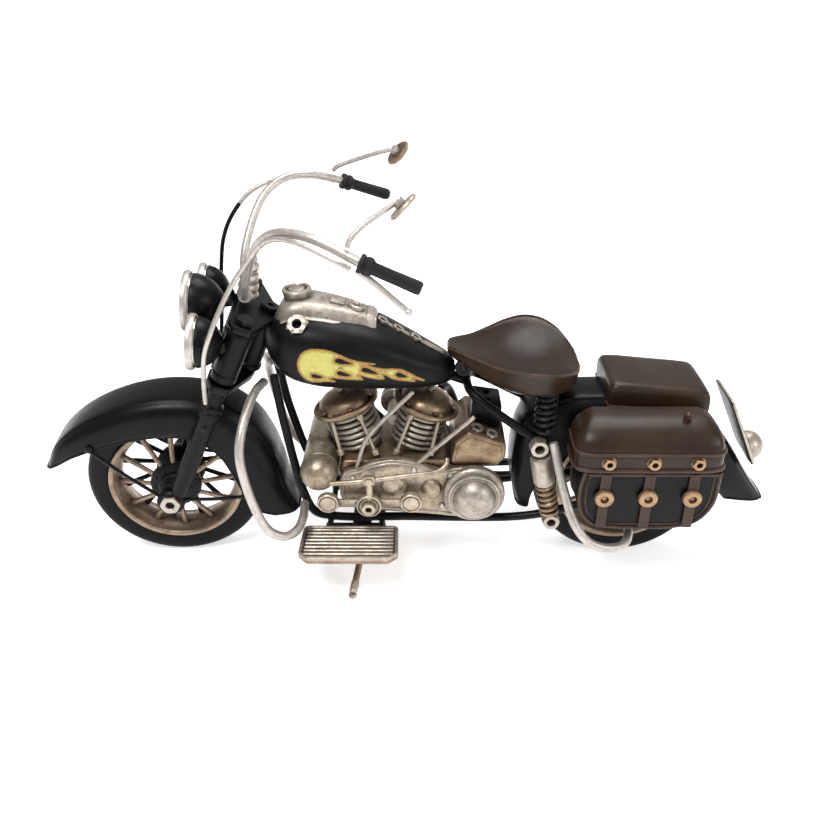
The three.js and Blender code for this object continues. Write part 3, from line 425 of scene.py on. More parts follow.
def paint(name, base, tint, edge_col, rough=(0.36, 0.5), wear=0.35, bump=0.3, scale=240, coat=0.0, leather=0.0, spec=0.3):
    """brushed lacquer on tin plate with rubbed edges, dust specks and painted shade in the recesses"""
    m, nt, bs = new_mat(name)
    k = N(nt)
    big = k.noise(scale * 0.25, 5, 0.6, 0.3)
    col = k.mix(k.rng(big, 0.35, 0.7, 0.0, 1.0), base, tint)
    speck = k.rng(k.noise(scale * 7, 2, 0.5), 0.74, 0.8, 0.0, 0.35)
    col = k.mix(speck, col, edge_col)
    e = k.math("MULTIPLY", k.rng(k.point(), 0.525, 0.6, 0.0, 1.0), k.rng(k.noise(scale * 1.1, 5, 0.7), 0.4, 0.62, 0.1, 1.0))
    col = k.mix(k.math("MULTIPLY", e, wear), col, edge_col)
    # painted shade: ambient occlusion darkens the lacquer to 0.35 of its base colour in recesses and between parts
    hollow = k.rng(k.ao(0.003), 0.3, 0.9, 0.6, 0.0)
    col = k.mix(hollow, col, tuple(c * 0.35 for c in base))
    k.link(col, bs.inputs["Base Color"])
    k.link(k.rng(k.noise(scale * 0.8, 5, 0.65), 0.3, 0.7, rough[0], rough[1]), bs.inputs["Roughness"])
    bs.inputs["Coat Weight"].default_value = coat
    bs.inputs["Coat Roughness"].default_value = 0.35
    bs.inputs["Specular IOR Level"].default_value = spec
    h = k.bump(k.noise(scale * 0.5, 3, 0.5), bump * 0.35, 0.0005, None)
    h = k.bump(k.noise(scale * 5, 4, 0.6), bump * 0.6, 0.00008, None if leather else bs, h)
    if leather:
        v = k.node("ShaderNodeTexVoronoi")
        v.inputs["Scale"].default_value = 900
        k.link(k.coords(), v.inputs["Vector"])
        k.bump(v.outputs["Distance"], leather, 0.00012, bs, h)
    return m


BLACK = paint("black_lacquer", (0.0016, 0.0017, 0.0018), (0.0036, 0.0037, 0.0039), (0.06, 0.055, 0.05), rough=(0.25, 0.37), wear=0.35, spec=0.13)
FRAMEB = paint("black_frame", (0.0016, 0.0017, 0.0018), (0.0036, 0.0037, 0.0038), (0.08, 0.07, 0.062), rough=(0.3, 0.42), wear=0.35, spec=0.14)
SILVER = metal("aged_silver", (0.44, 0.395, 0.34), (0.29, 0.24, 0.19), (0.12, 0.078, 0.045), (0.04, 0.02, 0.009), amount=0.85)
BARS = metal("bar_silver", (0.50, 0.465, 0.43), (0.38, 0.345, 0.31), (0.2, 0.15, 0.115), (0.1, 0.055, 0.032), amount=0.45, scale=180)
BRONZE = metal("aged_bronze", (0.31, 0.22, 0.14), (0.135, 0.08, 0.038), (0.055, 0.028, 0.01), (0.018, 0.008, 0.003), rough=(0.26, 0.48), amount=0.85)
ENGINE = metal("engine_metal", (0.45, 0.385, 0.3), (0.21, 0.145, 0.085), (0.08, 0.043, 0.017), (0.024, 0.0105, 0.0035), rough=(0.26, 0.52), amount=0.95, scale=200)
RIM = metal("rim_bronze", (0.34, 0.255, 0.185), (0.19, 0.128, 0.082), (0.08, 0.043, 0.022), (0.02, 0.01, 0.005), rough=(0.3, 0.5), amount=0.75, scale=160)
BRASS = metal("small_brass", (0.36, 0.235, 0.135), (0.2, 0.115, 0.06), (0.065, 0.032, 0.014), (0.02, 0.009, 0.004), amount=0.8)
TYRE = paint("tyre_black", (0.0018, 0.0018, 0.0019), (0.0036, 0.0036, 0.0037), (0.026, 0.025, 0.024), rough=(0.42, 0.56), wear=0.2, spec=0.13)
GRIPM = paint("grip_black", (0.0065, 0.0072, 0.0072), (0.011, 0.0125, 0.0125), (0.035, 0.036, 0.035), rough=(0.5, 0.64), wear=0.2, spec=0.2)
BROWN = paint("brown_lacquer", (0.014, 0.0072, 0.0036), (0.034, 0.0185, 0.0092), (0.12, 0.066, 0.036), rough=(0.28, 0.42), wear=0.75, bump=0.35, leather=0.14, scale=120, spec=0.24)
BROWNRIM = paint("brown_rim", (0.024, 0.0115, 0.0068), (0.05, 0.025, 0.015), (0.15, 0.082, 0.052), rough=(0.34, 0.48), wear=0.8, scale=200, spec=0.26)
BAGBLACK = paint("bag_black", (0.0024, 0.0021, 0.0019), (0.005, 0.004, 0.0035), (0.045, 0.028, 0.018), rough=(0.32, 0.44), wear=0.55, leather=0.1, spec=0.15)


def emit(name, g, mats, body, nodes=(), front=False, angle=32, attr=None):
    V = np.concatenate(g.v)
    if front:
        V = rot_up(V)
    V = (V - A(SX, SY, 0)) / 1000.0
    me = bpy.data.meshes.new(name)
    me.from_pydata([tuple(p) for p in V], [], [list(q) for q in g.f])
    for m in mats:
        me.materials.append(m)
    me.polygons.foreach_set("material_index", g.m)
    me.polygons.foreach_set("use_smooth", [True] * len(me.polygons))
    me.validate()
    import bmesh
    bm = bmesh.new()
    bm.from_mesh(me)
    bmesh.ops.recalc_face_normals(bm, faces=bm.faces)
    bm.to_mesh(me)
    bm.free()
    me.set_sharp_from_angle(angle=math.radians(angle))
    me.update()
    o = bpy.data.objects.new(name, me)
    bpy.context.scene.collection.objects.link(o)
    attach(o, body)
    if nodes:
        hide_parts(*nodes)
    return o


SIDES = ((-1, "left"), (1, "right"))
Y = A(0, 1, 0)


# ------------------------------------------------------------------ wheels
def wheel(cx, cz, name, body, front):
    c = A(cx, 0, cz)
    R = 44.8
    tread = [[32.6, -7.6], [34.4, -8.6], [37, -9.0], [40.6, -8.9], [42.6, -8.2], [43.6, -7.2], [44.4, -5.6], [R, -2.6], [R, 2.6], [44.4, 5.6], [43.6, 7.2], [42.6, 8.2], [40.6, 8.9], [37, 9.0], [34.4, 8.6], [32.6, 7.6]]
    P = catmull(tread, 3)
    P = np.vstack([P, [[33.2, 5.5], [33.2, -5.5]]])
    P[:, 0] = np.minimum(P[:, 0], R)
    g = G().add(rev(P, c, Y, 112, closed=True))
    emit("v_%s_tyre" % name, g, [TYRE], body, ["%s_tyre" % name], front)
    prof = [[31.0, -9.0], [31.6, -9.8], [32.8, -10.1], [33.8, -9.7], [33.9, -9.1], [33.1, -8.7], [32.4, -8.0], [32.2, -6], [32.2, 6], [32.4, 8.0], [33.1, 8.7], [33.9, 9.1], [33.8, 9.7], [32.8, 10.1], [31.6, 9.8], [31.0, 9.0], [30.6, 6.4], [28.9, 3.2], [28.5, 0], [28.9, -3.2], [30.6, -6.4]]
    prof = [[min(r, 33.6 if abs(h) > 8.4 else 32.5), h] for r, h in prof]
    g = G().add(rev(catmull(prof, 2, True), c, Y, 112, closed=True))
    emit("v_%s_rim" % name, g, [RIM], body, ["%s_rim" % name], front)
    g = G()
    hub = [[2.75, -13], [7.4, -13], [8.4, -12.2], [8.4, -11.2], [11, -10.9], [12.4, -10.2], [12.8, -9.2], [12.8, -6.8], [12.2, -5.9], [7, -5.2], [5.6, -3.4], [5.6, 3.4], [7, 5.2], [12.2, 5.9], [12.8, 6.8], [12.8, 9.2], [12.4, 10.2], [11, 10.9], [8.4, 11.2], [8.4, 12.2], [7.4, 13], [2.75, 13]]
    g.add(rev(hub, c, Y, 64, closed=True), 1)
    for s in (-1, 1):
        for i in range(12):
            a0 = 2 * math.pi * (i + (0.0 if s < 0 else 0.5)) / 12
            p = c + A(11.2 * math.cos(a0), s * 8.2, 11.2 * math.sin(a0))
            q = c + A(29.8 * math.cos(a0), s * 3.4, 29.8 * math.sin(a0))
            V, F = tube([p, (p + q) / 2, q], [1.15, 1.3, 1.5], 16, 4)
            k0 = len(g.m)
            g.add((V, F), 0)
            # painted shade: bronze on the outward half, black on the inward half, standing in for the shadow inside the
            # wheel
            for j, f in enumerate(F):
                m = np.mean([V[v] for v in f], axis=0) - c
                ax = s * (8.2 - 4.8 * (math.hypot(m[0], m[2]) - 11.2) / 18.6)
                if (m[1] - ax) * s < -0.1:
                    g.m[k0 + j] = 1
            g.add(rev([[0, 0], [0.9, 0], [0.8, 0.5], [0.4, 0.8], [0, 0.85]], c + A(10.2 * math.cos(a0), s * 10.6, 10.2 * math.sin(a0)), Y * s, 10), 1)
    emit("v_%s_spokes" % name, g, [RIM, FRAMEB], body, ["%s_spokes" % name], front)


wheel(FX, FZ, "front", "front_wheel", True)
wheel(RX, RZ, "rear", "rear_wheel", False)

# ------------------------------------------------------------------ front end
FE = "front_end"
for s, side in SIDES:
    g = G()
    leg = [[0, -4.6], [2.8, -4.4], [4.3, -2.6], [4.3, 44.6], [5.3, 45.6], [5.4, 48.8], [4.9, 49.2], [4.9, 49.8], [5.4, 50.2], [5.4, 52], [4.4, 52.8], [4.0, 53.4], [4.0, 66.6], [5.9, 67.2], [5.9, 70.5], [5.5, 71], [5.5, 71.6], [5.9, 72], [5.9, 92], [5.2, 93.4], [0, 93.5]]
    g.add(rev(leg, fork(0, s * FORK_Y), UP, 44, 0.5))
    g.add(rev([[0, 19.9], [6.0, 19.9], [6.9, 20.8], [6.9, 25.2], [6.0, 26.2], [0, 26.2]], A(FX, 0, FZ) if s > 0 else A(FX, 0, FZ), Y * s, 40, 0.3))
    g.add(rev([[0, 0], [1.1, 0], [1.1, 1.1], [0.7, 1.5], [0, 1.5]], fork(40, s * (FORK_Y + 4.2)), Y * s, 12))
    emit("v_%s_fork_leg" % side, g, [FRAMEB], FE, ["%s_fork_leg" % side], True)

yoke = [[-4, -29.5], [4, -29.5], [6.8, -23], [4.5, -12], [4.5, 12], [6.8, 23], [4, 29.5], [-4, 29.5], [-13.4, 7], [-14.8, 0], [-13.4, -7]]


def in_yoke(x, y, h):
    return fork(h, 0) + x * A(-UP[2], 0, UP[0]) + A(0, y, 0)


g = G().add(plate(yoke, 61.6, 65.4, in_yoke, 2.5, 0.7))
g.add(rev([[0, 63], [3.0, 63], [3.0, 93.4], [0, 93.4]], fork(0, 0, AXIS_BACK), UP, 24))
for s in (-1, 1):
    g.add(nut(fork(63.5, s * 17.5, -5.4), A(-UP[2], 0, UP[0]), 5, 2.4), 0)
emit("v_lower_fork_clamp", g, [FRAMEB], FE, ["lower_fork_clamp"], True)
g = G().add(plate(yoke, 93.9, 97.2, in_yoke, 2.5, 0.7))
g.add(nut(fork(98.6, 0, AXIS_BACK), UP, 8.6, 3.0, 1.6), 0)
for s in (-1, 1):
    g.add(nut(fork(98.4, s * FORK_Y), UP, 8, 2.6), 0)
emit("v_upper_fork_clamp", g, [FRAMEB], FE, ["upper_fork_clamp"], True)
g = G().add(rod(A(FX, -25.4, FZ), A(FX, 25.4, FZ), 2.4, 24), 1)
for s in (-1, 1):
    g.add(nut(A(FX, s * 26.2, FZ), Y * s, 9.0, 3.2, 2.1), 0)
    g.add(rev([[0, 18.6], [6.2, 18.6], [6.9, 19.2], [6.9, 23.8], [6.3, 24.6], [0, 24.6]], A(FX, 0, FZ), Y * s, 40), 1)
emit("v_front_axle", g, [SILVER, FRAMEB], FE, ["front_axle"], True)

bar_near = [[-73.4, -5, 146.4], [-73.9, -9.6, 148.4], [-72.6, -12.4, 153.6], [-70.4, -15.5, 161], [-67, -21, 171], [-62, -29, 180], [-56, -36.5, 186], [-49.5, -43, 188.6], [-41, -49.5, 189], [-34, -53.8, 187.4], [-27, -57.6, 184.8], [-20.5, -60.6, 182.0]]
bar_far = [[-73.6, 5, 146.4], [-74.6, 9.6, 148.6], [-75.2, 12.4, 154.6], [-74.2, 15.6, 161], [-70, 24.4, 173], [-65.2, 31.6, 181], [-58.4, 38, 186], [-51.5, 44, 187], [-42.4, 50, 185.6], [-35.5, 54, 183.2], [-27.4, 58.2, 179.9]]
g = G().add(tube(bar_near[::-1] + [[-73.2, 0, 146]] + bar_far, 1.95, 18, 7))
x0 = A(-73.2, 0, 145.6)
dz = A(0.2, 0, 1)
beads = [[0, -2.0], [4.2, -2.0], [4.9, -1.2], [5.1, 0], [4.6, 1.1], [3.3, 1.6], [3.3, 1.9], [4.5, 2.6], [4.9, 3.9], [4.5, 5.2], [3.1, 5.8], [3.1, 6.2], [4.2, 6.9], [4.7, 8.3], [4.2, 9.8], [3.0, 10.5], [3.0, 10.9], [3.9, 11.8], [4.3, 13.2], [3.8, 14.7], [2.6, 15.5], [2.6, 15.9], [3.1, 16.6], [2.7, 17.9], [1.5, 18.7], [0, 18.9]]
g.add(rev(beads, x0, dz, 36))
for s in (-1, 1):
    g.add(rev([[0, 0], [3.0, 0], [3.2, 0.6], [3.2, 3.2], [3.0, 3.8], [0, 3.8]], A(-73.4, s * 5.2, 146.5), A(0, s, 0.3), 24))
emit("v_handlebar", g, [BARS], FE, ["handlebar"], True, 40)
ends = {"left": ([-21.3, -60.4, 182.3], [3.2, -65.2, 172.2]), "right": ([-28.2, 58.1, 180.1], [-2.4, 64.4, 169.8])}
for s, side in SIDES:
    a, b = A(*ends[side][0]), A(*ends[side][1])
    d = unit(b - a)
    g = G().add(rev([[0, 0], [3.7, 0], [3.9, 0.6], [3.9, 1.6], [3.4, 2.0], [3.4, 2.6], [3.8, 3.0], [3.8, 4.6], [3.0, 5.6], [2.6, 6.4], [2.65, 15], [2.8, 24.4], [2.65, 25.6], [2.2, 26.1], [0, 26.1]], a, d, 36), 0)
    if s > 0:
        g.add(rev([[0, 25.6], [2.1, 26.0], [2.1, 26.5], [1.6, 26.9], [0, 27.0]], a, d, 28), 1)
    emit("v_%s_grip" % side, g, [GRIPM, BARS], FE, ["%s_grip" % side], True)
g = G().add(tube([[-22.6, -60.8, 179.4], [-18.8, -61.4, 176.8], [-13.2, -62.8, 172.4], [-7.8, -64.4, 167.8], [-3, -65.8, 163.8]], [1.35, 1.3, 1.15, 1.15, 1.2], 12, 8))
g.add(rev([[0, -1.5], [0.9, -1.3], [1.5, -0.5], [1.5, 0.5], [0.9, 1.3], [0, 1.5]], A(-2.6, -66.0, 163.4), A(1, 0, -0.8), 16))
emit("v_clutch_lever", g, [BARS], FE, ["clutch_lever"], True)
cables = {
    "left": [[-24.6, -62, 180.2], [-31, -60.6, 183.4], [-39, -55.8, 186.2], [-47, -50.2, 187.6], [-54, -44.2, 186.6], [-60.5, -38.2, 182.2], [-66.3, -34, 174.8], [-74.5, -33.8, 163.8], [-82, -36.6, 150.8], [-86, -38.8, 142.4], [-89.3, -38.4, 134], [-92, -34.8, 119], [-93.7, -30.4, 104.5]],
    "right": [[-31.6, 60.4, 179], [-38, 58.2, 182], [-47, 53.4, 184.2], [-55.5, 47.6, 185], [-63.6, 43.4, 184.4], [-72.8, 41.4, 180], [-82, 39, 169.8], [-87.4, 39.4, 158.4], [-90.4, 41, 144], [-91.8, 41, 131], [-92.8, 35.6, 117], [-93.9, 30.6, 105]],
}
for s, side in SIDES:
    P = catmull(cables[side], 8)
    if s > 0:
        cutp = int(len(P) * 0.5)
        g = G().add(tube(P[:cutp + 1], 1.05, 12, raw=True), 0).add(tube(P[cutp:], 1.05, 12, raw=True), 1)
    else:
        g = G().add(tube(P, 1.1, 12, raw=True), 0)
    emit("v_%s_control_cable" % side, g, [BARS, FRAMEB], FE, ["%s_control_cable" % side], True)
mirrors = {"left": ([-3.5, -48, 199.7], [[-25.6, -58.4, 187.6], [-24.6, -57.9, 190.4], [-20, -55.6, 194.6], [-12.5, -51.8, 198.6]]), "right": ([-0.1, 48, 195.9], [[-32.4, 57, 185.4], [-30.2, 57, 187.4], [-23, 55.6, 190.4], [-10, 50.8, 195.4]])}
for s, side in SIDES:
    c, stem = mirrors[side]
    n = unit([-0.7, -s * 0.18, 0.69])
    c = A(*c)
    back = c + n * 2.2
    g = G().add(tube(stem + [back + A(-1.2, s * 0.5, 0.4)], 1.05, 12, 8), 1)
    g.add(rev([[0, 0.75], [4.8, 0.8], [5.9, 0.95], [6.5, 0.6], [6.75, 0], [6.5, -0.6], [6.1, -0.9], [5.6, -0.7], [5.2, -0.5], [0, -0.45]], c, n, 48), 0)
    g.add(nut(back, n, 4.2, 2.8), 1)
    emit("v_%s_mirror" % side, g, [BRONZE if s > 0 else ENGINE, BARS], FE, ["%s_mirror" % side], True)

lamp_dir = unit([-1, 0, 0.113])


def lamp(g, r, L, at):
    k = r / 14.2
    g.add(rev([[0, -2.4], [11.9 * k, -2.4], [13.1 * k, -2.6], [13.1 * k, -0.24 * L], [12.3 * k, -0.42 * L], [10.6 * k, -0.62 * L], [8.2 * k, -0.78 * L], [5.2 * k, -0.91 * L], [2.6 * k, -0.975 * L], [0, -L]], at, lamp_dir, 56), 0)
    rim = [[12.2 * k, 0.6], [12.5 * k, 1.4], [13.3 * k, 1.75], [14.0 * k, 1.35], [14.3 * k, 0.5], [14.2 * k, -0.6], [13.6 * k, -1.5], [12.9 * k, -1.5]]
    g.add(rev(rim, at, lamp_dir, 64, closed=True), 1)
    g.add(rev([[0, 0.9], [1.6 * k, 0.85], [2.6 * k, 0.35], [3.2 * k, -0.5], [6.4 * k, -0.35], [9.4 * k, 0.1], [11.4 * k, 0.75], [12.5 * k, 1.0], [12.6 * k, -0.2], [12.0 * k, -2.0], [0, -2.0]], at, lamp_dir, 56), 2)


LENS = metal("lamp_dish", (0.56, 0.52, 0.47), (0.44, 0.4, 0.35), (0.25, 0.19, 0.14), (0.11, 0.065, 0.04), rough=(0.16, 0.3), amount=0.35, bump=0.1)
g = G()
lamp(g, 14.2, 17.4, A(-101.2, 0, 142.4))
g.add(rod(A(-87, 0, 141), A(-81.2, 0, 141.6), 2.4), 0)
emit("v_headlight", g, [BLACK, BARS, LENS], FE, ["headlight"], True)
for s, side in SIDES:
    g = G()
    at = A(-96.2, -26.6, 134.4) if s < 0 else A(-98.6, 26.8, 137.2)
    lamp(g, 12.6, 13.6, at)
    e = fork(83, s * FORK_Y)
    st = at - lamp_dir * 12.4
    tgt = fork(84.5, s * FORK_Y) + A(-4.9, s * 3.4, 0)
    g.add(tube([st, (st + tgt) / 2 + A(0, 0, -0.6), tgt], 2.6, 16, 5), 0)
    emit("v_%s_spot_lamp" % side, g, [BLACK, BARS, LENS], FE, ["%s_spot_lamp" % side], True)


# ------------------------------------------------------------------ fenders
def fender(stations, widths, hy, centre, sec, per=7, thick=1.0, bead=0.75):
    st = catmull([list(p) + [w] for p, w in zip(stations, widths)], per)
    outer, inner, edge_l, edge_r = [], [], [], []
    half = [(f, -y) for f, y in sec]
    full = half + [(f, y) for f, y in sec[::-1]]
    for cx, cz, sx, sz, w in st:
        C, S = A(cx, 0, cz), A(sx, 0, sz)
        row = np.array([S + (C - S) * f + A(0, y * w * hy, 0) for f, y in full])
        din = unit(A(centre[0], 0, centre[1]) - C)
        tan = np.gradient(row, axis=0)
        nrm = np.cross(tan, np.cross(din, A(0, 1, 0)))
        nrm = nrm / np.linalg.norm(nrm, axis=1)[:, None]
        if nrm[len(row) // 2] @ din < 0:
            nrm = -nrm
        outer.append(row)
        inner.append(row + nrm * thick)
        edge_l.append(row[0] + A(0, 0.25, 0))
        edge_r.append(row[-1] - A(0, 0.25, 0))
    n = len(full)
    m = len(outer)
    V = np.concatenate(outer + inner)
    F = []
    off = m * n
    for i in range(m - 1):
        for j in range(n - 1):
            a = i * n + j
            F.append((a, a + 1, a + n + 1, a + n))
            F.append((off + a, off + a + n, off + a + n + 1, off + a + 1))
        for j, fl in ((0, 1), (n - 1, 0)):
            a = i * n + j
            q = (a, a + n, off + a + n, off + a)
            F.append(q if fl else q[::-1])
    for i, fl in ((0, 1), (m - 1, 0)):
        for j in range(n - 1):
            a = i * n + j
            q = (a, off + a, off + a + 1, a + 1)
            F.append(q if fl else q[::-1])
    g = G().add((V, F))
    loop = edge_l + [p for p in outer[-1][1:-1] * 1.0] + edge_r[::-1] + [p for p in outer[0][1:-1][::-1] * 1.0]
    g.add(tube(edge_l, bead, 10, raw=True))
    g.add(tube(edge_r, bead, 10, raw=True))
    g.add(tube(outer[0], bead * 0.8, 10, raw=True))
    g.add(tube(outer[-1], bead * 0.8, 10, raw=True))
    return g


sec_f = [(0, 1), (0.16, 0.998), (0.34, 0.992), (0.5, 0.98), (0.62, 0.955), (0.72, 0.915), (0.8, 0.86), (0.86, 0.8), (0.893, 0.75), (0.905, 0.725), (0.93, 0.71), (0.95, 0.69), (0.968, 0.62), (0.982, 0.48), (0.993, 0.3), (0.999, 0.1)]
front_st = [[-180.5, 59.5, -173, 63], [-175, 71, -166, 67.5], [-165.5, 80.5, -157, 71.5], [-152.5, 88.4, -146, 75], [-135, 94.8, -132, 78], [-117, 97.2, -117.5, 79], [-101, 95.6, -104, 76], [-86, 90.4, -94, 67.5], [-74.4, 79.6, -88.5, 56], [-67.8, 66.4, -85, 46], [-63.8, 52, -81.5, 37.5], [-61.5, 40, -78, 31.5], [-57, 28.5, -70, 27.5]]
g = fender(front_st, [0.78, 0.88, 0.96, 1, 1, 1, 1, 1, 1, 1, 1, 0.98, 0.92], 17.3, [FX, 50], sec_f)
for s in (-1, 1):
    g.add(tube([[-123.5, s * 22.6, 46.6], [-140, s * 20.6, 60], [-156, s * 17.6, 73.6]], 0.95, 10, 8))
    g.add(tube([[-113, s * 22.6, 45], [-98, s * 21, 43.2], [-82.4, s * 17.8, 41.6]], 0.95, 10, 8))
    for p in ([-155.6, s * 17.4, 73.4], [-82.8, s * 17.6, 41.6]):
        g.add(rev([[0, -0.3], [1.9, -0.3], [1.9, 0.6], [1.3, 1.1], [0, 1.3]], A(*p), Y * s, 16))
emit("v_front_fender", g, [BLACK], FE, ["front_fender"], True, 45)

FR = "frame"
rear_st = [[56.5, 35, 62, 34], [53.4, 48, 63, 42], [53, 62, 66, 50], [54.6, 75, 70.6, 57.6], [59, 86, 76, 64], [67, 93, 82, 69], [78, 96.4, 90, 72.4], [94, 97.4, 100, 74.4], [110, 97, 112, 74.6], [126, 94.8, 124, 72.4], [141, 88.6, 135, 67], [154, 78, 144.6, 60], [164.6, 65, 152, 52], [174, 51, 158, 45.4], [184.5, 36.5, 163, 39.4]]
g = fender(rear_st, [0.86, 0.92, 0.97, 1, 1, 1, 1, 1, 1, 1, 1, 1, 0.98, 0.95, 0.86], 16.2, [RX, 50], sec_f)
emit("v_rear_fender", g, [BLACK], FR, ["rear_fender"], False, 45)

# ------------------------------------------------------------------ frame tubes
g = G()
g.add(rev([[3.35, 66.2], [6.4, 66.2], [6.4, 68.4], [5.6, 69.2], [5.6, 90.4], [6.4, 91.2], [6.4, 93.3], [3.35, 93.3]], fork(0, 0, AXIS_BACK), UP, 40, 0.25, True))
g.add(tube([[-61, 0, 117], [-56, 0, 115], [-20, 0, 108.5], [18, 0, 103.6], [31, 0, 99.4]], 2.6, 18, 10))
g.add(tube([[-64, 0, 113.4], [-58, 0, 114.6]], 2.2, 16, 3))
for s in (-1, 1):
    g.add(tube([[29.6, s * 0.5, 100.2], [31, s * 9, 99], [35, s * 14, 96.6], [60, s * 21, 80.8], [64, s * 21.4, 79.2]], 2.15, 18, 10))
emit("v_main_frame", g, [FRAMEB], FR, ["main_frame"])
for s, side in SIDES:
    P = catmull([[-63.6, s * 6.6, 106], [-60, s * 9.6, 80], [-51.5, s * 16, 42], [-46.5, s * 16.8, 32.4], [-37, s * 17, 29.8], [0, s * 17, 29.6], [52, s * 17.6, 29.8], [70, s * 18.6, 33], [90, s * 18.9, 39.4], [107, s * 18.9, 44]], 10)
    g = G().add(tube(P, 2.15, 18, raw=True))
    g.add(rev([[2.75, 18.0], [5.2, 18.0], [5.7, 18.4], [5.7, 20.3], [5.2, 20.8], [2.75, 20.8]], A(RX, 0, RZ), Y * s, 36, 0.2, True))
    emit("v_%s_cradle_tube" % side, g, [FRAMEB], FR, ["%s_cradle_tube" % side])
g = G().add(rod(A(RX, -24.8, RZ), A(RX, 24.8, RZ), 2.4, 24))
for s in (-1, 1):
    g.add(nut(A(RX, s * 23.1, RZ), Y * s, 9, 3.0, 2.0))
emit("v_rear_axle", g, [SILVER], FR, ["rear_axle"])

# ------------------------------------------------------------------ fuel tank with painted flames
tank = [[-65.5, 9, 117, 131], [-62, 15, 110.5, 135], [-55, 20.5, 104.6, 137.5], [-44, 23.4, 101.2, 138], [-30, 23.6, 99.8, 135.8], [-14, 21.8, 99.2, 131.4], [0, 18.6, 99.2, 124.2], [12, 14.6, 99.6, 117.4], [19.6, 10.6, 100.8, 113.2], [23.8, 5.6, 103.2, 109.2]]


def tank_rings(grow=0.0, x_from=-70, n=208, per=26):
    st = catmull(tank, per)
    out = []
    for x, w, z0, z1 in st:
        if x < x_from:
            continue
        c, h = (z0 + z1) / 2 + (z1 - z0) * 0.02, (z1 - z0) / 2 + grow
        a = np.arange(n) * 2 * math.pi / n
        ca, sa = np.cos(a), np.sin(a)
        e = np.where(sa > 0, 0.74, 0.78)
        out.append(np.stack([np.full(n, x), np.sign(ca) * np.abs(ca) ** e * (w + grow), c + np.sign(sa) * np.abs(sa) ** e * h], 1))
    return out


FLAME = [(-49.53, 118.47), (-49.06, 121.45), (-47.69, 124.12), (-45.64, 126.06), (-42.96, 127.07), (-39.5, 127.17), (-36.06, 126.79), (-32.62, 125.81), (-29.19, 124.23), (-25.79, 122.44), (-22.37, 121.18), (-18.35, 120.18), (-13.45, 119.18), (-13.46, 118.48), (-16.65, 118.56), (-19.55, 118.63), (-15.5, 117.87), (-12.62, 117.01), (-9.15, 116.17), (-5.65, 115.97), (-1.55, 115.04), (1.97, 112.9), (5.53, 110.12), (9.25, 107.93), (9.02, 106.92), (6.13, 108.07), (3.15, 109.37), (4.93, 108.0), (4.33, 107.19), (0.16, 108.31), (-3.39, 109.13), (-6.32, 110.49), (-8.35, 112.11), (-10.37, 113.28), (-9.36, 111.25), (-9.86, 110.26), (-13.37, 110.77), (-16.86, 111.84), (-19.74, 113.01), (-21.48, 113.35), (-19.09, 111.68), (-19.5, 110.6), (-22.77, 110.93), (-26.86, 111.26), (-30.34, 111.84), (-33.27, 112.19), (-34.94, 112.0), (-32.09, 110.62), (-32.42, 109.6), (-36.45, 109.81), (-40.11, 109.14), (-43.45, 108.86), (-46.06, 110.02), (-48.02, 112.87), (-49.26, 115.48)]
HOLES = [[(-31.94, 121.37), (-31.43, 122.25), (-30.09, 122.54), (-28.39, 122.02), (-26.41, 120.95), (-23.85, 119.74), (-25.87, 119.68), (-28.76, 119.76), (-30.75, 120.29)], [(-43.09, 113.44), (-42.54, 114.27), (-41.46, 114.47), (-40.21, 113.97), (-37.82, 112.84), (-39.48, 112.16), (-41.55, 112.17), (-42.71, 112.51)], [(-31.31, 115.14), (-30.79, 115.92), (-29.79, 116.17), (-27.8, 115.39), (-24.85, 113.68), (-26.74, 113.33), (-29.34, 113.61), (-30.77, 114.2)], [(-20.08, 116.41), (-19.59, 117.11), (-18.43, 117.21), (-16.12, 116.44), (-12.46, 113.8), (-15.02, 114.12), (-18.2, 114.99), (-19.64, 115.58)], [(-4.4, 112.5), (-3.92, 113.21), (-3.04, 113.46), (-1.28, 112.54), (1.07, 110.58), (-1.0, 110.6), (-3.36, 111.27)]]


def sdf(Q, loops):
    """signed distance, positive inside the outline and outside its holes"""
    D = np.full(len(Q), 1e9)
    inside = np.zeros(len(Q), bool)
    for L in loops:
        L = np.array(L)
        for a, b in zip(L, np.roll(L, -1, 0)):
            ab = b - a
            t = np.clip(((Q - a) @ ab) / max(ab @ ab, 1e-9), 0, 1)
            D = np.minimum(D, np.linalg.norm(Q - a - t[:, None] * ab, axis=1))
            cond = (a[1] > Q[:, 1]) != (b[1] > Q[:, 1])
            xx = a[0] + (Q[:, 1] - a[1]) / np.where(b[1] == a[1], 1e-9, b[1] - a[1]) * ab[0]
            inside ^= cond & (Q[:, 0] < xx)
    return np.where(inside, D, -D)


def smooth_loop(L, k=3):
    return catmull([A(*p) for p in L], k, True)


tm, nt, bs = new_mat("tank_flame_lacquer")
k = N(nt)
base = k.mix(k.rng(k.noise(60, 5, 0.6, 0.3), 0.35, 0.7, 0.0, 1.0), (0.0018, 0.0019, 0.002), (0.004, 0.0042, 0.0044))
base = k.mix(k.rng(k.noise(1500, 2, 0.5), 0.72, 0.78, 0.0, 0.35), base, (0.1, 0.09, 0.08))
at = k.node("ShaderNodeAttribute", attribute_name="decal_mm")
sd = at.outputs["Fac"]
mott = k.noise(420, 5, 0.65)
yel = k.ramp(mott, [(0.3, (0.41, 0.37, 0.095)), (0.5, (0.47, 0.43, 0.125)), (0.7, (0.53, 0.49, 0.16))])
org = k.ramp(k.noise(900, 4, 0.6), [(0.3, (0.22, 0.115, 0.03)), (0.5, (0.3, 0.165, 0.045)), (0.7, (0.37, 0.22, 0.075))])
ins = k.mix(k.rng(sd, 0.78, 1.0, 0.0, 1.0), org, yel)
line = k.math("MULTIPLY", k.rng(sd, 1.12, 1.24, 0.0, 1.0), k.rng(sd, 1.34, 1.46, 1.0, 0.0))
ins = k.mix(k.math("MULTIPLY", line, 0.8), ins, (0.12, 0.06, 0.018))
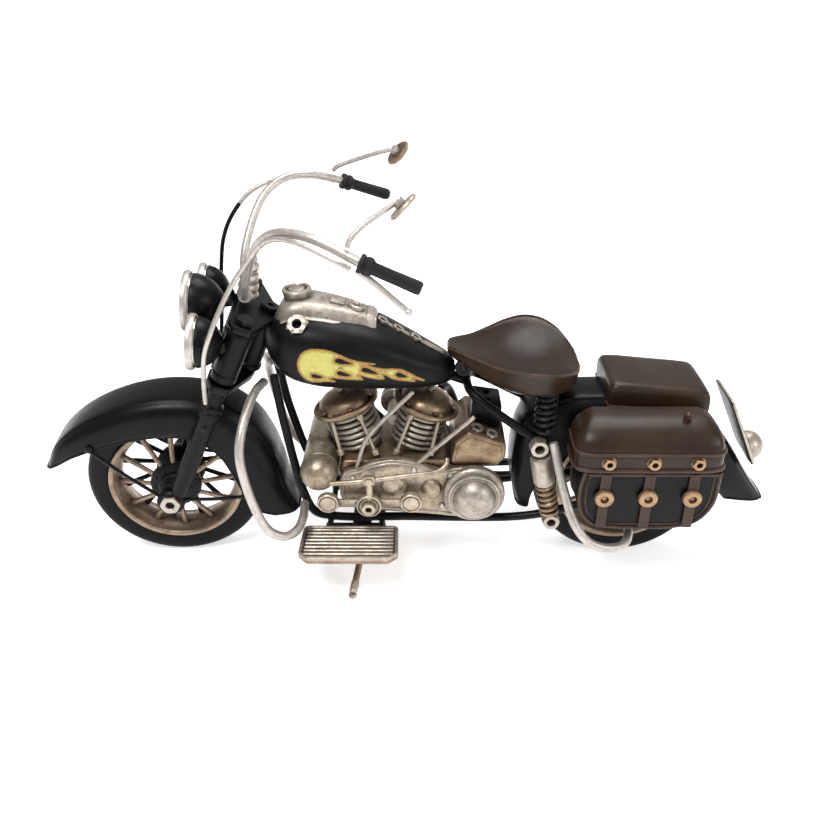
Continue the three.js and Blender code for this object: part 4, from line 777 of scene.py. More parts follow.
inside_mask = k.rng(sd, -0.06, 0.06, 0.0, 1.0)
col = k.mix(inside_mask, base, ins)
k.link(col, bs.inputs["Base Color"])
k.link(k.rng(k.noise(200, 5, 0.65), 0.3, 0.7, 0.34, 0.46), bs.inputs["Roughness"])
bs.inputs["Specular IOR Level"].default_value = 0.14
h = k.bump(k.noise(110, 3, 0.5), 0.12, 0.0005, None)
h = k.bump(inside_mask, 0.35, 0.00012, None, h)
k.bump(k.noise(1200, 4, 0.6), 0.2, 0.00006, bs, h)

rs = tank_rings()
tv, tf = rings(rs)
g = G().add((tv, tf), 0)
for s in (-1, 1):
    g.add(nut(A(-48.8, s * 16.8, 136.2), A(0, s, 0.78), 8.4, 4.4, 2.1), 1)
    g.add(rev([[2.2, -1.4], [5.2, -1.4], [5.2, -0.8], [2.2, -0.8]], A(-48.8, s * 16.5, 136.0), A(0, s, 0.78), 36, 0.15, True), 1)
tk = emit("v_fuel_tank", g, [tm, SILVER], FR, ["fuel_tank"], False, 50)
allv = np.concatenate(g.v)
Q = allv[:, [0, 2]]
fl = np.full(len(allv), -9.0)
near = (np.abs(allv[:, 1]) > 4) & (Q[:, 0] > -54) & (Q[:, 0] < 14)
fl[near] = sdf(Q[near], [FLAME] + [smooth_loop(H, 3) for H in HOLES])
attr = tk.data.attributes.new("decal_mm", "FLOAT", "POINT")
attr.data.foreach_set("value", fl[: len(tk.data.vertices)])

# instrument panel on the tank
dash = [[-60.6, 136.5, 10.5, 6.8], [-57, 141.4, 12.4, 8], [-51, 144, 13.4, 9], [-40, 143, 13, 8.4], [-26, 139.6, 11.8, 7.4], [-13.5, 135, 10.4, 6.2]]
sd_ = catmull(dash, 10)
rr = []
for x, z, w, wt in sd_:
    half = [(w + 0.5, -12.2), (w + 0.5, -7.2), (w + 0.9, -6.6), (w + 0.9, -5.9), (w + 0.2, -5.5), (w - 0.6, -5.2), (w - 1.1, -4.2), (w - 1.5, -3.0), (w - 2.6, -1.5), (wt + 0.6, -0.55), (wt - 0.8, -0.12), (wt * 0.5, 0.1), (0, 0.15)]
    row = [(-a, b) for a, b in half] + [(a, b) for a, b in half[::-1][1:]]
    rr.append(np.array([[x, a, z + b] for a, b in row]))
x, z, w, wt = sd_[0]
first = rr[0].copy()
first[:, 1] *= 0.8
first[:, 2] = z - 12 + (first[:, 2] - z + 12) * 0.8
first[:, 0] -= 0.9
rr = [first] + rr
g = G().add(rings(rr), 0)
pl = lambda x, y, h: A(x, y, 143.0 - (x + 40) * 0.262 + h)
cap = A(-50.4, 0, 145.8)
cd = unit([-0.04, 0, 1])
g.add(rev([[0, -4], [6.2, -4], [6.5, -1.0], [6.9, 0.4], [7.0, 1.3], [6.5, 2.0], [5.6, 2.1], [5.0, 1.6], [4.8, 0.9], [4.5, 0.7], [4.1, 0.9], [3.7, 1.6], [3.0, 1.9], [1.4, 2.0], [0, 2.0]], cap, cd, 56), 0)
g.add(rev([[4.1, 0.72], [4.4, 1.35], [4.7, 0.72]], cap, cd, 56, closed=True), 1)
g.add(plate([[-34.8, -4.6], [-34.8, 3.8], [-28.2, 3.4], [-28.2, -4.0]], -0.6, 1.5, lambda x, y, h: pl(x, y, h), 0.6, 0.25), 0)
g.add(rev([[0, -1], [4.1, -1], [4.3, 0.4], [4.0, 1.3], [3.3, 1.7], [2.6, 1.3], [0, 1.35]], pl(-22.9, -1.2, 0), unit([0.262, 0, 1]), 40), 0)
g.add(rev([[0, -1], [1.2, -1], [1.2, 2.2], [0.8, 2.6], [0, 2.6]], pl(-22.9, -1.2, 0), unit([0.262, 0, 1]), 20), 0)
endp = [[-11.2, -9.5], [-11.0, -5.5], [-8.0, -1.0], [-6, 0.6], [6, 0.6], [8.0, -1.0], [11.0, -5.5], [11.2, -9.5]]
g.add(plate(endp, -17.8, -14.4, lambda y, z, x: A(x, y, 134.95 - (x + 13.5) * 0.36 + z), 1.2, 0.4), 0)
strap = lambda x: 131 - (x + 12) * 0.62
sdv = unit([0.62, 0, 1])
top_at = lambda x: np.interp(x, [q[0] for q in catmull(tank, 10)], [q[3] for q in catmull(tank, 10)])
for x in (-10.9, -3.6, 4.7):
    g.add(nut(A(x, 0, max(strap(x), top_at(x)) + 0.9), sdv, 5.4, 2.0, 1.5), 0)
for xa, xb in ((-15, -13.4), (-8.5, -6.0), (-1.2, 2.4), (7.0, 9.4)):
    g.add(plate([[xa, -1.5], [xa, 1.5], [xb, 1.5], [xb, -1.5]], 0.2, 1.3, lambda x, y, h: A(x, y, max(strap(x), top_at(x)) + h), 0.4, 0.2), 0)
g.add(plate([[9, -1.9], [9, 1.9], [18.4, 1.7], [18.4, -1.7]], 0.1, 1.4, lambda x, y, h: A(x, y, max(strap(x) - 0.2, top_at(x)) + h), 0.4, 0.25), 0)
emit("v_dash_panel", g, [SILVER, BRONZE], FR, ["dash_panel"], False, 36)

# ------------------------------------------------------------------ engine
case = [[-31, 38.5], [-33, 60], [-31, 65.2], [19.5, 65.2], [22.5, 62.6], [34, 62.4], [37, 60], [37, 40], [33, 36.5], [-27, 36.5]]
g = G().add(plate(case, -20, 20, inY, 3, 1.5))
g.add(plate([[-24, 42], [28, 42], [28, 58], [-24, 58]], 19.5, 25, inY, 2, 1.0))
for s in (-1, 1):
    for x in (-27, 33):
        g.add(nut(A(x, s * 20.4, 41), Y * s, 4.2, 1.6))
emit("v_crankcase", g, [BRONZE], FR, ["crankcase"])


def cyl(name, base, d):
    base, d = A(*base), unit(d)
    P = [[0, -2.6], [10.2, -2.6], [10.6, 0.1], [11.3, 0.5]]
    for i in range(6):
        z0 = 0.7 + i * 3.25
        for t in np.linspace(0, math.pi, 8):
            P.append([11.35 + 1.75 * math.sin(t), z0 + 1.4 - 1.4 * math.cos(t)])
        P.append([11.1, z0 + 3.0])
    P += [[11.2, 20.0], [0, 20.0]]
    H = [[0, 19.8], [12.6, 19.8], [15.4, 20.4], [16.6, 21.2], [17.0, 22.2], [16.8, 23.2], [16.1, 23.7], [15.4, 23.2], [14.6, 22.9], [13.8, 23.1], [13.4, 24.2], [12.5, 26.0], [10.4, 27.7], [7.4, 28.8], [3.8, 29.5], [0, 29.7]]
    g = G().add(rev(P, base, d, 64), 0).add(rev(H, base, d, 64), 2)
    for dx, tip in ((-9.5, -7), (9.5, 7)):
        a = base + A(dx * 0.9, -16.6, 1.2)
        b = base + d * 21.8 + A(tip, -11.0, 0)
        g.add(rod(a, b, 0.95, 16), 1)
        g.add(rev([[0, -0.4], [1.9, -0.4], [1.9, 2.0], [1.4, 2.6], [0, 2.6]], a, b - a, 20), 1)
        e = b + (a - b) * 0.08
        g.add(rev([[0, -1], [1.8, -1], [1.8, 1.2], [0, 1.4]], e, b - a, 20), 1)
    for t in range(6):
        a = 2 * math.pi * t / 6 + 0.3
        u, w, _ = basis(d)
        g.add(nut(base + d * 24.0 + (u * math.cos(a) + w * math.sin(a)) * 13.9, d, 2.0, 1.4), 2)
    g.add(rev([[0, 0], [2.0, 0], [2.0, 1.4], [1.4, 2.2], [0, 2.3]], base + d * 29.4, d, 20), 1)
    emit("v_" + name, g, [SILVER, ENGINE, BRONZE], FR, [name], False, 30)


cyl("front_cylinder", (-23.4, 0, 66.0), (-0.32, 0, 1))
cyl("rear_cylinder", (3.6, 0, 66.0), (0.3, 0, 1))
g = G().add(rev([[0, -32.4], [2.6, -32.1], [4.9, -31.2], [6.9, -29.6], [8.3, -27.4], [9.1, -25.0], [9.4, -22.4], [9.3, -21.8], [8.8, -21.4], [8.8, -20.6], [9.1, -20.2], [9.1, -10], [8.8, -9.6], [8.8, 24], [8, 25], [0, 25]], A(-42.6, 0, 61), Y, 56), 0)
emit("v_timing_cylinder", g, [ENGINE], FR, ["timing_cylinder"], False, 25)
cover = [[-31, 60.4], [-24, 63.4], [-14, 67.4], [-4, 68.6], [6, 66.6], [16, 62.6], [26, 64], [36, 63.6], [44, 59], [47.6, 50.6], [46, 42], [40, 36.4], [32, 34.6], [10, 36.6], [-8, 38], [-24, 40], [-32, 45]]
g = G().add(plate(cover, -24.8, -20.3, inY, smooth=4, b=1.1), 0)
inner = inset(catmull(cover, 4, True), 2.0)
g.add(tube([(x, -24.7, z) for x, z in np.vstack([inner, inner[:1]])], 0.65, 10, raw=True), 1)
dome = [[0, -37.6], [3.4, -37.2], [6.6, -36.0], [9.0, -34.0], [10.2, -31.8], [10.6, -30.4], [11.2, -30.2], [12.0, -30.4], [12.8, -30.0], [13.0, -29.0], [12.7, -28.0], [13.4, -27.6], [14.6, -27.6], [15.2, -26.9], [15.3, -24.8], [15.0, -23], [0, -23]]
g.add(rev(dome, A(33.6, 0, 49.8), Y, 64), 1)
g.add(rev([[0, -28.2], [3.0, -27.9], [5.2, -27.0], [6.4, -25.4], [6.9, -23.8], [0, -23.8]], A(-6, 0, 54.5), Y, 40), 0)
g.add(rev([[0, -28], [2.4, -27.8], [4.2, -26.9], [5.0, -25.4], [5.2, -23.8], [0, -23.8]], A(12.6, 0, 52.6), Y, 36), 0)
for x, z in ((-26, 58), (-26, 45), (-2, 42), (18, 42), (22, 60), (4, 63)):
    g.add(rev([[0, -26], [1.0, -25.9], [1.5, -25.4], [1.5, -24.4], [0, -24.4]], A(x, 0, z), Y, 16), 1)
for pts in ([[-24.2, -22.6, 62.4], [-22.3, -22, 69.4], [-18.3, -20, 78.8], [3.7, -14, 100.6]], [[4.6, -23.2, 65.0], [7.2, -23, 67.3], [20, -21.4, 78.7], [33, -19.8, 90.2]]):
    g.add(tube(pts, 1.1, 14, 6), 1)
emit("v_primary_cover", g, [ENGINE, SILVER], FR, ["primary_cover"], False, 30)

g = G().add(tube([[-36.5, -34, 61], [-20, -33.6, 62.4], [0, -32.4, 64.6], [16, -30.6, 66.4], [19.6, -28.4, 69], [20, -26.2, 70.8]], 1.2, 14, 9))
g.add(rod(A(-17.6, -31.8, 47.4), A(-17.6, -31.8, 62.6), 1.7))
g.add(plate([[-20.4, 60.2], [-14.8, 60.6], [-14.8, 65.4], [-20.4, 65]], -35.0, -32.0, inY, 0.8, 0.4))
g.add(nut(A(-17.6, -35.2, 62.8), Y, 3.4, 1.4))
g.add(plate([[-41, 45.4], [5, 45.4], [5, 49.8], [-41, 49.6]], -31.4, -29.8, inY, 1.6, 0.4))
for x, z, r in ((-18, 47, 6.2), (-38, 48.6, 5.3), (2.6, 48.8, 5.3)):
    g.add(rev([[0, -33.4], [r - 1.6, -33.4], [r - 1.4, -33.0], [r - 0.9, -33.4], [r - 0.3, -33.4], [r, -33.0], [r, -30.4], [0, -30.2]], A(x, 0, z), Y, 44))
g.add(nut(A(-18, -34.7, 47), Y, 6.4, 2.8, 1.5))
g.add(rod(A(-18, -31, 47), A(-18, -25.1, 47), 2))
emit("v_shift_linkage", g, [ENGINE], FR, ["shift_linkage"])
ot = [[21.8, 64], [44.5, 63], [48.8, 68], [48.8, 75.6], [30.4, 82.4], [24, 76.6]]
g = G().add(plate(ot, -21.6, 18, inY, 2.4, 1.5), 0)
g.add(plate([[23.6, 65.8], [43.8, 65], [47, 68.8], [47, 74.2], [31, 80.2], [25.6, 75.6]], -22.1, -20, inY, 2, 0.5), 0)
for p in (A(34.4, -16, 81.2), A(41.6, -17, 78.6)):
    g.add(nut(p, [0.34, -0.2, 1], 5.6, 3.0, 1.4), 1)
emit("v_oil_tank", g, [BRONZE, SILVER], FR, ["oil_tank"])
g = G().add(plate([[31.6, 82.2], [46.6, 76.9], [47, 90.4], [32.6, 92.6]], -9, 9, inY, 1.4, 0.9))
for y in (-4, 4):
    g.add(rev([[0, 0], [1.6, 0], [1.6, 1.0], [1.0, 1.4], [0, 1.4]], A(40, y, 91.4), [0.15, 0, 1], 18))
emit("v_battery_box", g, [FRAMEB], FR, ["battery_box"])
g = G().add(rev([[0, -3], [3.0, -3], [3.4, -2.4], [3.4, 15.6], [7.0, 16], [7.4, 16.8], [7.4, 18.4], [6.9, 18.8], [6.9, 20.0], [7.4, 20.4], [7.2, 22], [6.2, 22.8], [0, 23]], A(-6.3, 0, 78.6), Y, 44))
g.add(rod(A(-6.3, 6, 71.6), A(-6.3, 6, 78), 2.6))
g.add(nut(A(-6.3, 23.6, 78.6), Y, 5, 2.4))
emit("v_carburettor", g, [SILVER], FR, ["carburettor"])
PY = 36.5
g = G().add(tube([[-31, 16.7, 86], [-30, 24, 84], [-25, 29, 74], [-6, 31.6, 52], [14, 35, 35], [30, PY, 28.8], [64, PY, 28.8]], 2.2, 16, 9))
g.add(tube([[17, 16.7, 86], [21, 24, 83.6], [26, 29.4, 70], [31, 33, 42], [38, PY, 24.6], [48, PY, 20.2], [64, PY, 20.2]], 2.2, 16, 9))
for z0, z1, x1 in ((28.8, 32, 160), (20.2, 21.6, 154)):
    L = x1 - 66
    g.add(rev([[0, 0], [2.5, 0], [2.8, 1.2], [4.0, 8], [4.1, 9], [4.0, 9.8], [4.0, L - 7], [3.7, L - 3], [3.3, L - 0.8], [3.1, L], [2.4, L], [2.3, L - 6], [0, L - 6]], A(60, PY, z0), A(x1 - 60, 0, z1 - z0), 40))
g.add(rod(A(92, PY, 20.6), A(92, PY, 30), 1.6))
emit("v_exhaust_pipes", g, [FRAMEB], FR, ["exhaust_pipes"])

# ------------------------------------------------------------------ boards, stand, crash bars
for s, side in SIDES:
    P = [[-52, 24], [-52.4, 46], [-48, 51], [-8.4, 51], [-3.6, 46.6], [-4, 24]]
    Q = [[x, s * y] for x, y in P]
    g = G().add(plate(Q, 25.8, 27.8, inZ, 2.2, 0.4), 0)
    ol = fillet(Q, 3, 5, True)
    ol = inset(ol, 0.9)
    g.add(tube([(x, y, 28.1) for x, y in np.vstack([ol, ol[:2]])], 1.0, 12, raw=True), 1)
    for i in range(9):
        y = s * (26.6 + i * 2.75)
        xa, xb = (-50, -6.0) if i < 8 else (-48, -8.4)
        g.add(tube([[xa, y, 27.7], [(xa + xb) / 2, y, 27.7], [xb, y, 27.7]], 0.95, 10, 3), 1)
    emit("v_%s_footboard" % side, g, [BRONZE, SILVER], FR, ["%s_footboard" % side])
g = G()
for x in (-39.6, -26.4, -12.8):
    g.add(rod(A(x, -44, 23.9), A(x, 44, 23.9), 1.65))
for s in (-1, 1):
    g.add(plate([[-41.6, 23.0], [-10.8, 23.0], [-10.8, 24.8], [-41.6, 24.8]], s * 17 - 1.0, s * 17 + 1.0, inY, 0.5, 0.25))
g.add(plate([[-25, -18], [-18.2, -18], [-18.2, -13], [-25, -13]], 22.8, 25, inZ, 0.5, 0.2))
g.add(plate([[-25, -15.2], [-18.2, -15.2], [-18.2, -13], [-25, -13]], 14, 24, inZ, 0.4, 0.2))
emit("v_footboard_carrier", g, [FRAMEB], FR, ["footboard_carrier"])
T0, T1 = A(-21.6, -18.6, 17.6), A(-27.2, -46, 0.0)
ld = unit(T1 - T0)
g = G().add(tube([T0, (T0 + T1) / 2, T1 - ld * 5.0], 1.75, 16, 6), 0)
g.add(rev([[0, -2.4], [2.0, -2.4], [2.6, -1.8], [2.6, 1.8], [2.0, 2.4], [0, 2.4]], T0, [0, -0.54, 0.84], 24), 0)
ft = [T1 - ld * 9.0, T1 - ld * 8.2, T1 - ld * 3.2]
g.add(tube([T1 - ld * 9.4, T1 - ld * 5.6, T1 - ld * 2.4 + A(-0.2, -0.4, 0.45)], [2.1, 2.1, 1.9], 16, 4), 1)
u1 = A(-26.9, -44.8, 0)
g.add(rev([[0, 0.02], [1.8, 0.02], [2.1, 0.3], [2.1, 1.2], [1.6, 1.9], [0, 2.0]], u1, A(0, 0, 1), 24), 1)
emit("v_kickstand", g, [BRONZE, SILVER], "kickstand", ["kickstand"])
for s, side in SIDES:
    g = G().add(tube([[-67.2, s * 10.4, 104.6], [-70.6, s * 18, 103], [-74, s * 35, 95.5], [-75.6, s * 43.6, 84], [-73.6, s * 46, 68], [-69, s * 46.2, 50], [-64.4, s * 45, 40.4], [-58, s * 43, 36.4], [-53.2, s * 38, 36.6], [-51, s * 30, 38.6], [-51.4, s * 20, 40.6]], 2.15, 18, 9))
    emit("v_%s_front_crash_bar" % side, g, [BARS], FR, ["%s_front_crash_bar" % side])
    g = G().add(tube([[69.6, s * 31.2, 83], [70.6, s * 32.4, 79], [74.4, s * 40, 64], [80.6, s * 48, 47], [88, s * 50, 38.4], [98, s * 49.4, 34.8], [106, s * 45, 34.2], [109, s * 38, 36], [108.6, s * 33, 38]], 2.15, 18, 9))
    emit("v_%s_rear_crash_bar" % side, g, [BARS], FR, ["%s_rear_crash_bar" % side])

# ------------------------------------------------------------------ shocks and saddle
for s, side in SIDES:
    top, bot = A(63.9, s * 26.4, 77.4), A(72.6, s * 26.4, 34.6)
    d = unit(bot - top)
    L = np.linalg.norm(bot - top)
    g = G().add(rod(top + d * 3, bot - d * 3, 2.0), 1)
    g.add(rev([[0, 5.0], [3.6, 5.0], [4.9, 5.5], [5.3, 6.2], [5.3, 19.8], [5.0, 20.6], [4.4, 20.6], [4.4, 8], [0, 8]], top, d, 40), 0)
    g.add(coil(top + d * 20.4, d, 4.0, 1.0, 5.2, 16.6), 1)
    g.add(rev([[0, 37.0], [4.6, 37.0], [4.9, 37.5], [4.9, 38.4], [4.2, 39], [2.2, 39.4], [0, 39.4]], top, d, 36), 1)
    g.add(nut(top, Y, 8.2, 6.0, 2.2), 0)
    g.add(nut(bot, Y, 7.8, 6.0, 2.0), 0)
    emit("v_%s_shock" % side, g, [SILVER, BRONZE], FR, ["%s_shock" % side])
seat = [[21, 5, 119.8, 120, 5], [25, 8.8, 118.8, 119.8, 6.4], [32, 14.6, 115.8, 119, 7.4], [41, 23.4, 111.8, 119, 9], [51, 31.4, 108.6, 120, 10], [60, 35, 107.6, 120.6, 10.4], [68, 34.2, 108.2, 119.8, 10], [75, 29, 109.8, 117.6, 9], [80, 20, 111.2, 114.6, 7.4], [82.6, 9, 112, 112.8, 5.4]]
ss = catmull(seat, 8)
rr, rim_l, rim_r = [], [], []
fs = np.linspace(-1, 1, 41)
for x, w, zm, ze, th in ss:
    row = []
    for f in fs:
        dish = zm + (ze - zm) * abs(f) ** 2.2
        roll = max(0.0, abs(f) - 0.9) / 0.1
        row.append([x, f * w, dish + 0.3 - 1.5 * roll ** 2.2])
    for f in fs[::-1]:
        dish = zm + (ze - zm) * abs(f) ** 2.2
        roll = max(0.0, abs(f) - 0.88) / 0.12
        row.append([x, f * w * 0.985, dish - th * (1 - 0.72 * roll ** 1.6) + 0.3])
    rr.append(np.array(row))
    rim_l.append([x, -w * 0.985, ze - 1.0])
    rim_r.append([x, w * 0.985, ze - 1.0])
x, w, zm, ze, th = ss[-1]
last = rr[-1].copy()
mid = last.mean(0)
rr.append(mid + (last - mid) * A(1, 0.55, 0.6) + A(0.9, 0, -0.3))
first = rr[0].copy()
mid = first.mean(0)
rr = [mid + (first - mid) * A(1, 0.6, 0.6) + A(-1.0, 0, 0.0)] + rr
V, F = rings(rr)
n = len(fs)
g = G()
g.add((V, F), 0)
nr = 2 * n
top_or_wall = lambda q: (q % nr) < n or abs(fs[::-1][(q % nr) - n]) > 0.7
g.m = [(0 if (sum(1 for q in f if top_or_wall(q)) > len(f) / 2) else 1) if len(f) == 4 else 0 for f in F]
rim = rim_l + rim_r[::-1]
g.add(tube(rim + [rim[0]], 0.5, 12, raw=True), 2)
emit("v_seat", g, [BROWN, FRAMEB, BROWNRIM], FR, ["seat"], False, 50)
for s, side in SIDES:
    b = A(66.5, s * 21.4, 83.4)
    g = G().add(rod(b, b + A(0, 0, 25.6), 2.2))
    g.add(coil(b + A(0, 0, 2.2), A(0, 0, 1), 4.4, 1.05, 5.5, 18.6))
    g.add(rev([[0, 0], [4.6, 0], [5, 0.4], [5, 1.6], [0, 1.8]], b, A(0, 0, 1), 32))
    g.add(rev([[0, 20.6], [4.8, 20.6], [5.1, 21.2], [4.6, 22.2], [0, 22.6]], b, A(0, 0, 1), 32))
    emit("v_%s_seat_spring" % side, g, [FRAMEB], FR, ["%s_seat_spring" % side])
g = G().add(rod(A(27.6, -9.6, 110.6), A(27.6, 9.6, 110.6), 2.4))
for s in (-1, 1):
    g.add(nut(A(27.6, s * 8, 110.6), Y, 7.4, 3.6, 0))
    g.add(rev([[0, 9.6], [1.8, 9.6], [1.8, 10.4], [1.2, 10.9], [0, 10.9]], A(27.6, 0, 110.6), Y * s, 16))
g.add(rod(A(27.6, 0, 110.6), A(29.2, 0, 102.8), 2.4))
g.add(plate([[-3.2, 108.6], [3.2, 108.6], [3.2, 113.6], [-3.2, 113.6]], 25.2, 30, lambda y, z, x: A(x, y, z), 1, 0.5))
emit("v_seat_pivot", g, [FRAMEB], FR, ["seat_pivot"])

# ------------------------------------------------------------------ pad, bag, tail
pad = [[96.6, 92.4, 102.6, 15.6], [97.0, 93.2, 104.6, 17.0], [98.6, 93.6, 106.1, 17.9], [103, 93.4, 106.4, 18.2], [120, 92.2, 104.8, 18.4], [136, 90.4, 103.2, 18.6], [142.4, 89.4, 102.2, 18.5], [144.4, 89.0, 100.8, 17.9], [145.2, 89.0, 98.4, 16.6]]
rr = []
for x, z0, z1, w in catmull(pad, 4):
    a = np.linspace(0, 2 * math.pi, 57)[:-1] + math.pi / 4
    ca, sa = np.cos(a), np.sin(a)
    c, h = (z0 + z1) / 2, (z1 - z0) / 2
    yy = np.sign(ca) * np.abs(ca) ** 0.26 * w
    zz = c + np.sign(sa) * np.abs(sa) ** 0.34 * h + np.where(sa > 0, 0.5 * (1 - (yy / w) ** 2), 0)
    rr.append(np.stack([np.full(len(a), x), yy, zz], 1))
g = G().add(rings(rr), 0)
pts = []
for x, z0, z1, w in catmull([p for p in pad[1:-1]], 5):
    pts.append((x, w, z0 + 1.5))
seam = [(x, -w - 0.1, z) for x, w, z in pts] + [(x, w + 0.1, z) for x, w, z in pts[::-1]]
g.add(tube(seam + [seam[0]], 0.7, 10, raw=True), 1)
emit("v_pillion_pad", g, [BROWN, BROWNRIM], FR, ["pillion_pad"], False, 50)

bag = [[82.4, 76.4], [80.6, 66], [82, 54], [88, 47], [98, 44.8], [112, 44.2], [128, 45], [138, 48.4], [144.4, 58], [145.4, 76.4]]
ob = catmull([A(*p) for p in bag], 6)
g = G()
lay = [(-25.4, 0.4), (-25.8, 0), (-44.2, 0), (-45.4, 0.35), (-46.2, 1.1), (-46.6, 2.4), (-46.7, 6), (-46.9, 12)]
cen = A(113, 62)
rr = []
for y, ins_ in lay:
    q = []
    for p in ob:
        v_ = cen - p
        q.append(p + v_ / np.linalg.norm(v_) * ins_)
    q = q + [A(145.0, 77.2) + unit(cen - A(145.0, 77.2)) * ins_, A(82.6, 77.2) + unit(cen - A(82.6, 77.2)) * ins_]
    rr.append(np.array([[p[0], y, p[1]] for p in q]))
g.add(rings(rr), 0)
g.add(tube([(p[0], -46.0, p[1]) for p in [p + unit(cen - p) * 0.7 for p in ob]], 1.0, 12, raw=True), 1)
g.add(tube([(p[0], -26.2, p[1]) for p in [p + unit(cen - p) * 0.2 for p in ob]], 0.9, 10, raw=True), 1)
inn = [p + unit(cen - p) * 3.4 for p in ob]
g.add(tube([(p[0], -46.7, p[1]) for p in inn], 0.35, 8, raw=True), 1)
emit("v_saddlebag_body", g, [BAGBLACK, BROWNRIM], FR, ["saddlebag_body"], False, 45)

lid_out = [(77.9, -25.4), (77.6, -34), (77.9, -42.4), (79.6, -46.2), (83.5, -47.9), (98, -48.3), (112, -48.4), (126, -48.3), (140.4, -47.9), (144.4, -46.2), (146.2, -42.4), (146.4, -34), (146.1, -25.4)]
lo = catmull([A(*p) for p in lid_out], 6)
lev = [(77.2, 0.0), (77.0, 0.5), (77.6, 0.02), (80, 0), (84, 0.05), (87.6, 0.5), (90.4, 1.5), (92.8, 3.0), (95, 5.4), (96.8, 8.6), (98.2, 12.4), (98.9, 16)]
rr = []
hub_ = A(112, -25.4)
for z, d_ in lev[2:]:
    q = []
    for p in lo:
        fx = 1 - d_ / 34.0
        fy = 1 - d_ / 23.0
        q.append([hub_[0] + (p[0] - hub_[0]) * (1 - d_ * 0.6 / 34.0), hub_[1] + (p[1] - hub_[1]) * max(fy, 0.22), z])
    rr.append(np.array(q))
g = G().add(rings([rr[0] * A(1, 1, 1) + A(0, 0, -0.5)] + rr), 0)
g.add(tube([(p[0], p[1], 78.2) for p in lo], 1.15, 12, raw=True), 1)
up = [A(hub_[0] + (p[0] - hub_[0]) * 0.999, hub_[1] + (p[1] - hub_[1]) * 0.998) for p in lo]
g.add(tube([(p[0], p[1], 86.4) for p in up], 0.8, 12, raw=True), 1)
for x in (92.6, 113, 133):
    g.add(nut(A(x, -49.0, 82.2), Y, 5.2, 2.4, 1.3), 2)
    g.add(rev([[1.3, -0.3], [3.3, -0.3], [3.3, 0.2], [1.3, 0.2]], A(x, -48.2, 82.2), Y * -1, 28, 0.1, True), 2)
kp = A(128, -35, 95.6)
g.add(tube([kp, kp + A(0.5, -0.6, 2.4), kp + A(0.8, -1.2, 4.6), kp + A(0.2, -2.0, 6.2)], [2.1, 1.7, 1.9, 1.5], 16, 6), 1)
emit("v_saddlebag_lid", g, [BROWN, BROWNRIM, BRASS], FR, ["saddlebag_lid"], False, 50)

g = G()
for x in (92.2, 112.4, 132.8):
    g.add(plate([[x - 2.4, 46.4], [x + 2.4, 46.4], [x + 2.4, 76.2], [x - 2.4, 76.2]], -48.5, -47.1, inY, 0.8, 0.3), 0)
    g.add(rev([[2.0, -50.3], [3.2, -50.5], [4.2, -50.1], [4.6, -49.2], [4.5, -48.2], [2.0, -48.2]], A(x, 0, 63.4), Y, 40, closed=True), 1)
    g.add(rev([[0, -49.4], [1.2, -49.2], [1.9, -48.7], [1.9, -48.2], [0, -48.2]], A(x, 0, 63.4), Y, 24), 1)
g.add(plate([[84, 74.8], [143.4, 74.8], [143.4, 76.3], [84, 76.3]], -48.2, -47.0, inY, 0.4, 0.2), 0)
emit("v_saddlebag_straps", g, [BROWNRIM, BRASS], FR, ["saddlebag_straps"], False, 40)

pdx = unit([0.43, 0, -0.9])
pn = unit([0.9, 0, 0.43])
po = A(157.4, 0, 94.4)
pz = lambda y, t, h: po + pdx * t + A(0, y, 0) + pn * h
g = G().add(plate([[-13, 0], [13, 0], [13, 40], [-13, 40]], -0.8, 0.5, pz, 2.2, 0.3), 1)
g.add(plate([[-11.6, 1.4], [11.6, 1.4], [11.6, 38.6], [-11.6, 38.6]], 0.4, 0.9, pz, 1.6, 0.2), 0)
ol = fillet([[-12.4, 0.6], [12.4, 0.6], [12.4, 39.4], [-12.4, 39.4]], 2, 5, True)
g.add(tube([pz(a, b, 0.2) for a, b in np.vstack([ol, ol[:2]])], 0.8, 10, raw=True), 0)
emit("v_number_plate", g, [SILVER, FRAMEB], FR, ["number_plate"])
g = G().add(rev([[0, -0.4], [8.4, -0.4], [8.9, 0.1], [9.0, 1.2], [8.5, 1.9], [7.9, 2.2], [7.7, 3.2], [7.1, 5.0], [5.9, 6.9], [4.2, 8.3], [2.2, 9.1], [0, 9.3]], A(173.2, 0, 61.8), pn, 56))
emit("v_tail_light", g, [SILVER], FR, ["tail_light"], False, 60)

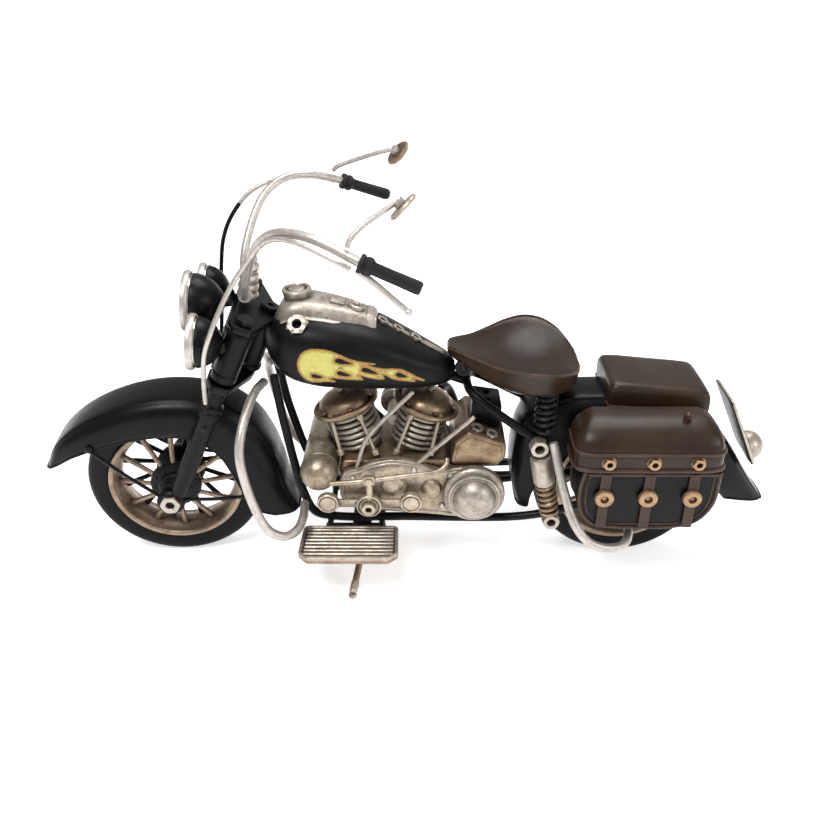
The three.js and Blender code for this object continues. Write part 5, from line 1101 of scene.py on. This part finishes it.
# ------------------------------------------------------------------ floor, light, camera
fl_m, nt, bs = new_mat("pale_floor")
k = N(nt)
k.link(k.mix(k.noise(3, 3, 0.5), (0.93, 0.93, 0.93), (0.96, 0.96, 0.96)), bs.inputs["Base Color"])
bs.inputs["Roughness"].default_value = 0.7
bs.inputs["Specular IOR Level"].default_value = 0.1
bs.inputs["Emission Color"].default_value = (1, 1, 1, 1)
bs.inputs["Emission Strength"].default_value = 0.58
me = bpy.data.meshes.new("floor")
me.from_pydata([(-6, -6, 0), (6, -6, 0), (6, 6, 0), (-6, 6, 0)], [], [(0, 1, 2, 3)])
me.materials.append(fl_m)
floor = bpy.data.objects.new("floor", me)
bpy.context.scene.collection.objects.link(floor)

w = bpy.data.worlds.new("studio")
bpy.context.scene.world = w
w.use_nodes = True
bg = w.node_tree.nodes["Background"]
bg.inputs[0].default_value = (1, 1, 1, 1)
bg.inputs[1].default_value = 0.52


def area(name, loc, target, size, power, sy=None):
    L = bpy.data.lights.new(name, "AREA")
    L.energy = power
    L.shape = "RECTANGLE"
    L.size = size
    L.size_y = sy or size
    o = bpy.data.objects.new(name, L)
    bpy.context.scene.collection.objects.link(o)
    o.location = loc
    o.rotation_euler = (Vector(target) - Vector(loc)).to_track_quat("-Z", "Y").to_euler()
    return o


area("key", (-0.25, -0.45, 1.0), (0, 0, 0.08), 0.42, 9)
area("top", (0.15, 0.3, 0.95), (0, 0, 0.08), 0.5, 6)
area("fill", (0.8, -0.5, 0.5), (0, 0, 0.08), 0.4, 2.5)

cam = bpy.data.cameras.new("cam")
cam.sensor_width = 36
cam.lens = 36 * 839.5 / 836
co = bpy.data.objects.new("cam", cam)
bpy.context.scene.collection.objects.link(co)
az, el = math.radians(0.2), math.radians(29.7)
back = Vector((math.sin(az) * math.cos(el), -math.cos(az) * math.cos(el), math.sin(el)))
tgt = Vector(((5.9 - SX) / 1000, -SY / 1000, 0.07815))
co.location = tgt + back * 0.4237
co.rotation_euler = (-back).to_track_quat("-Z", "Y").to_euler()
cam.clip_start = 0.01
bpy.context.scene.camera = co
bpy.context.scene.view_settings.view_transform = "Standard"
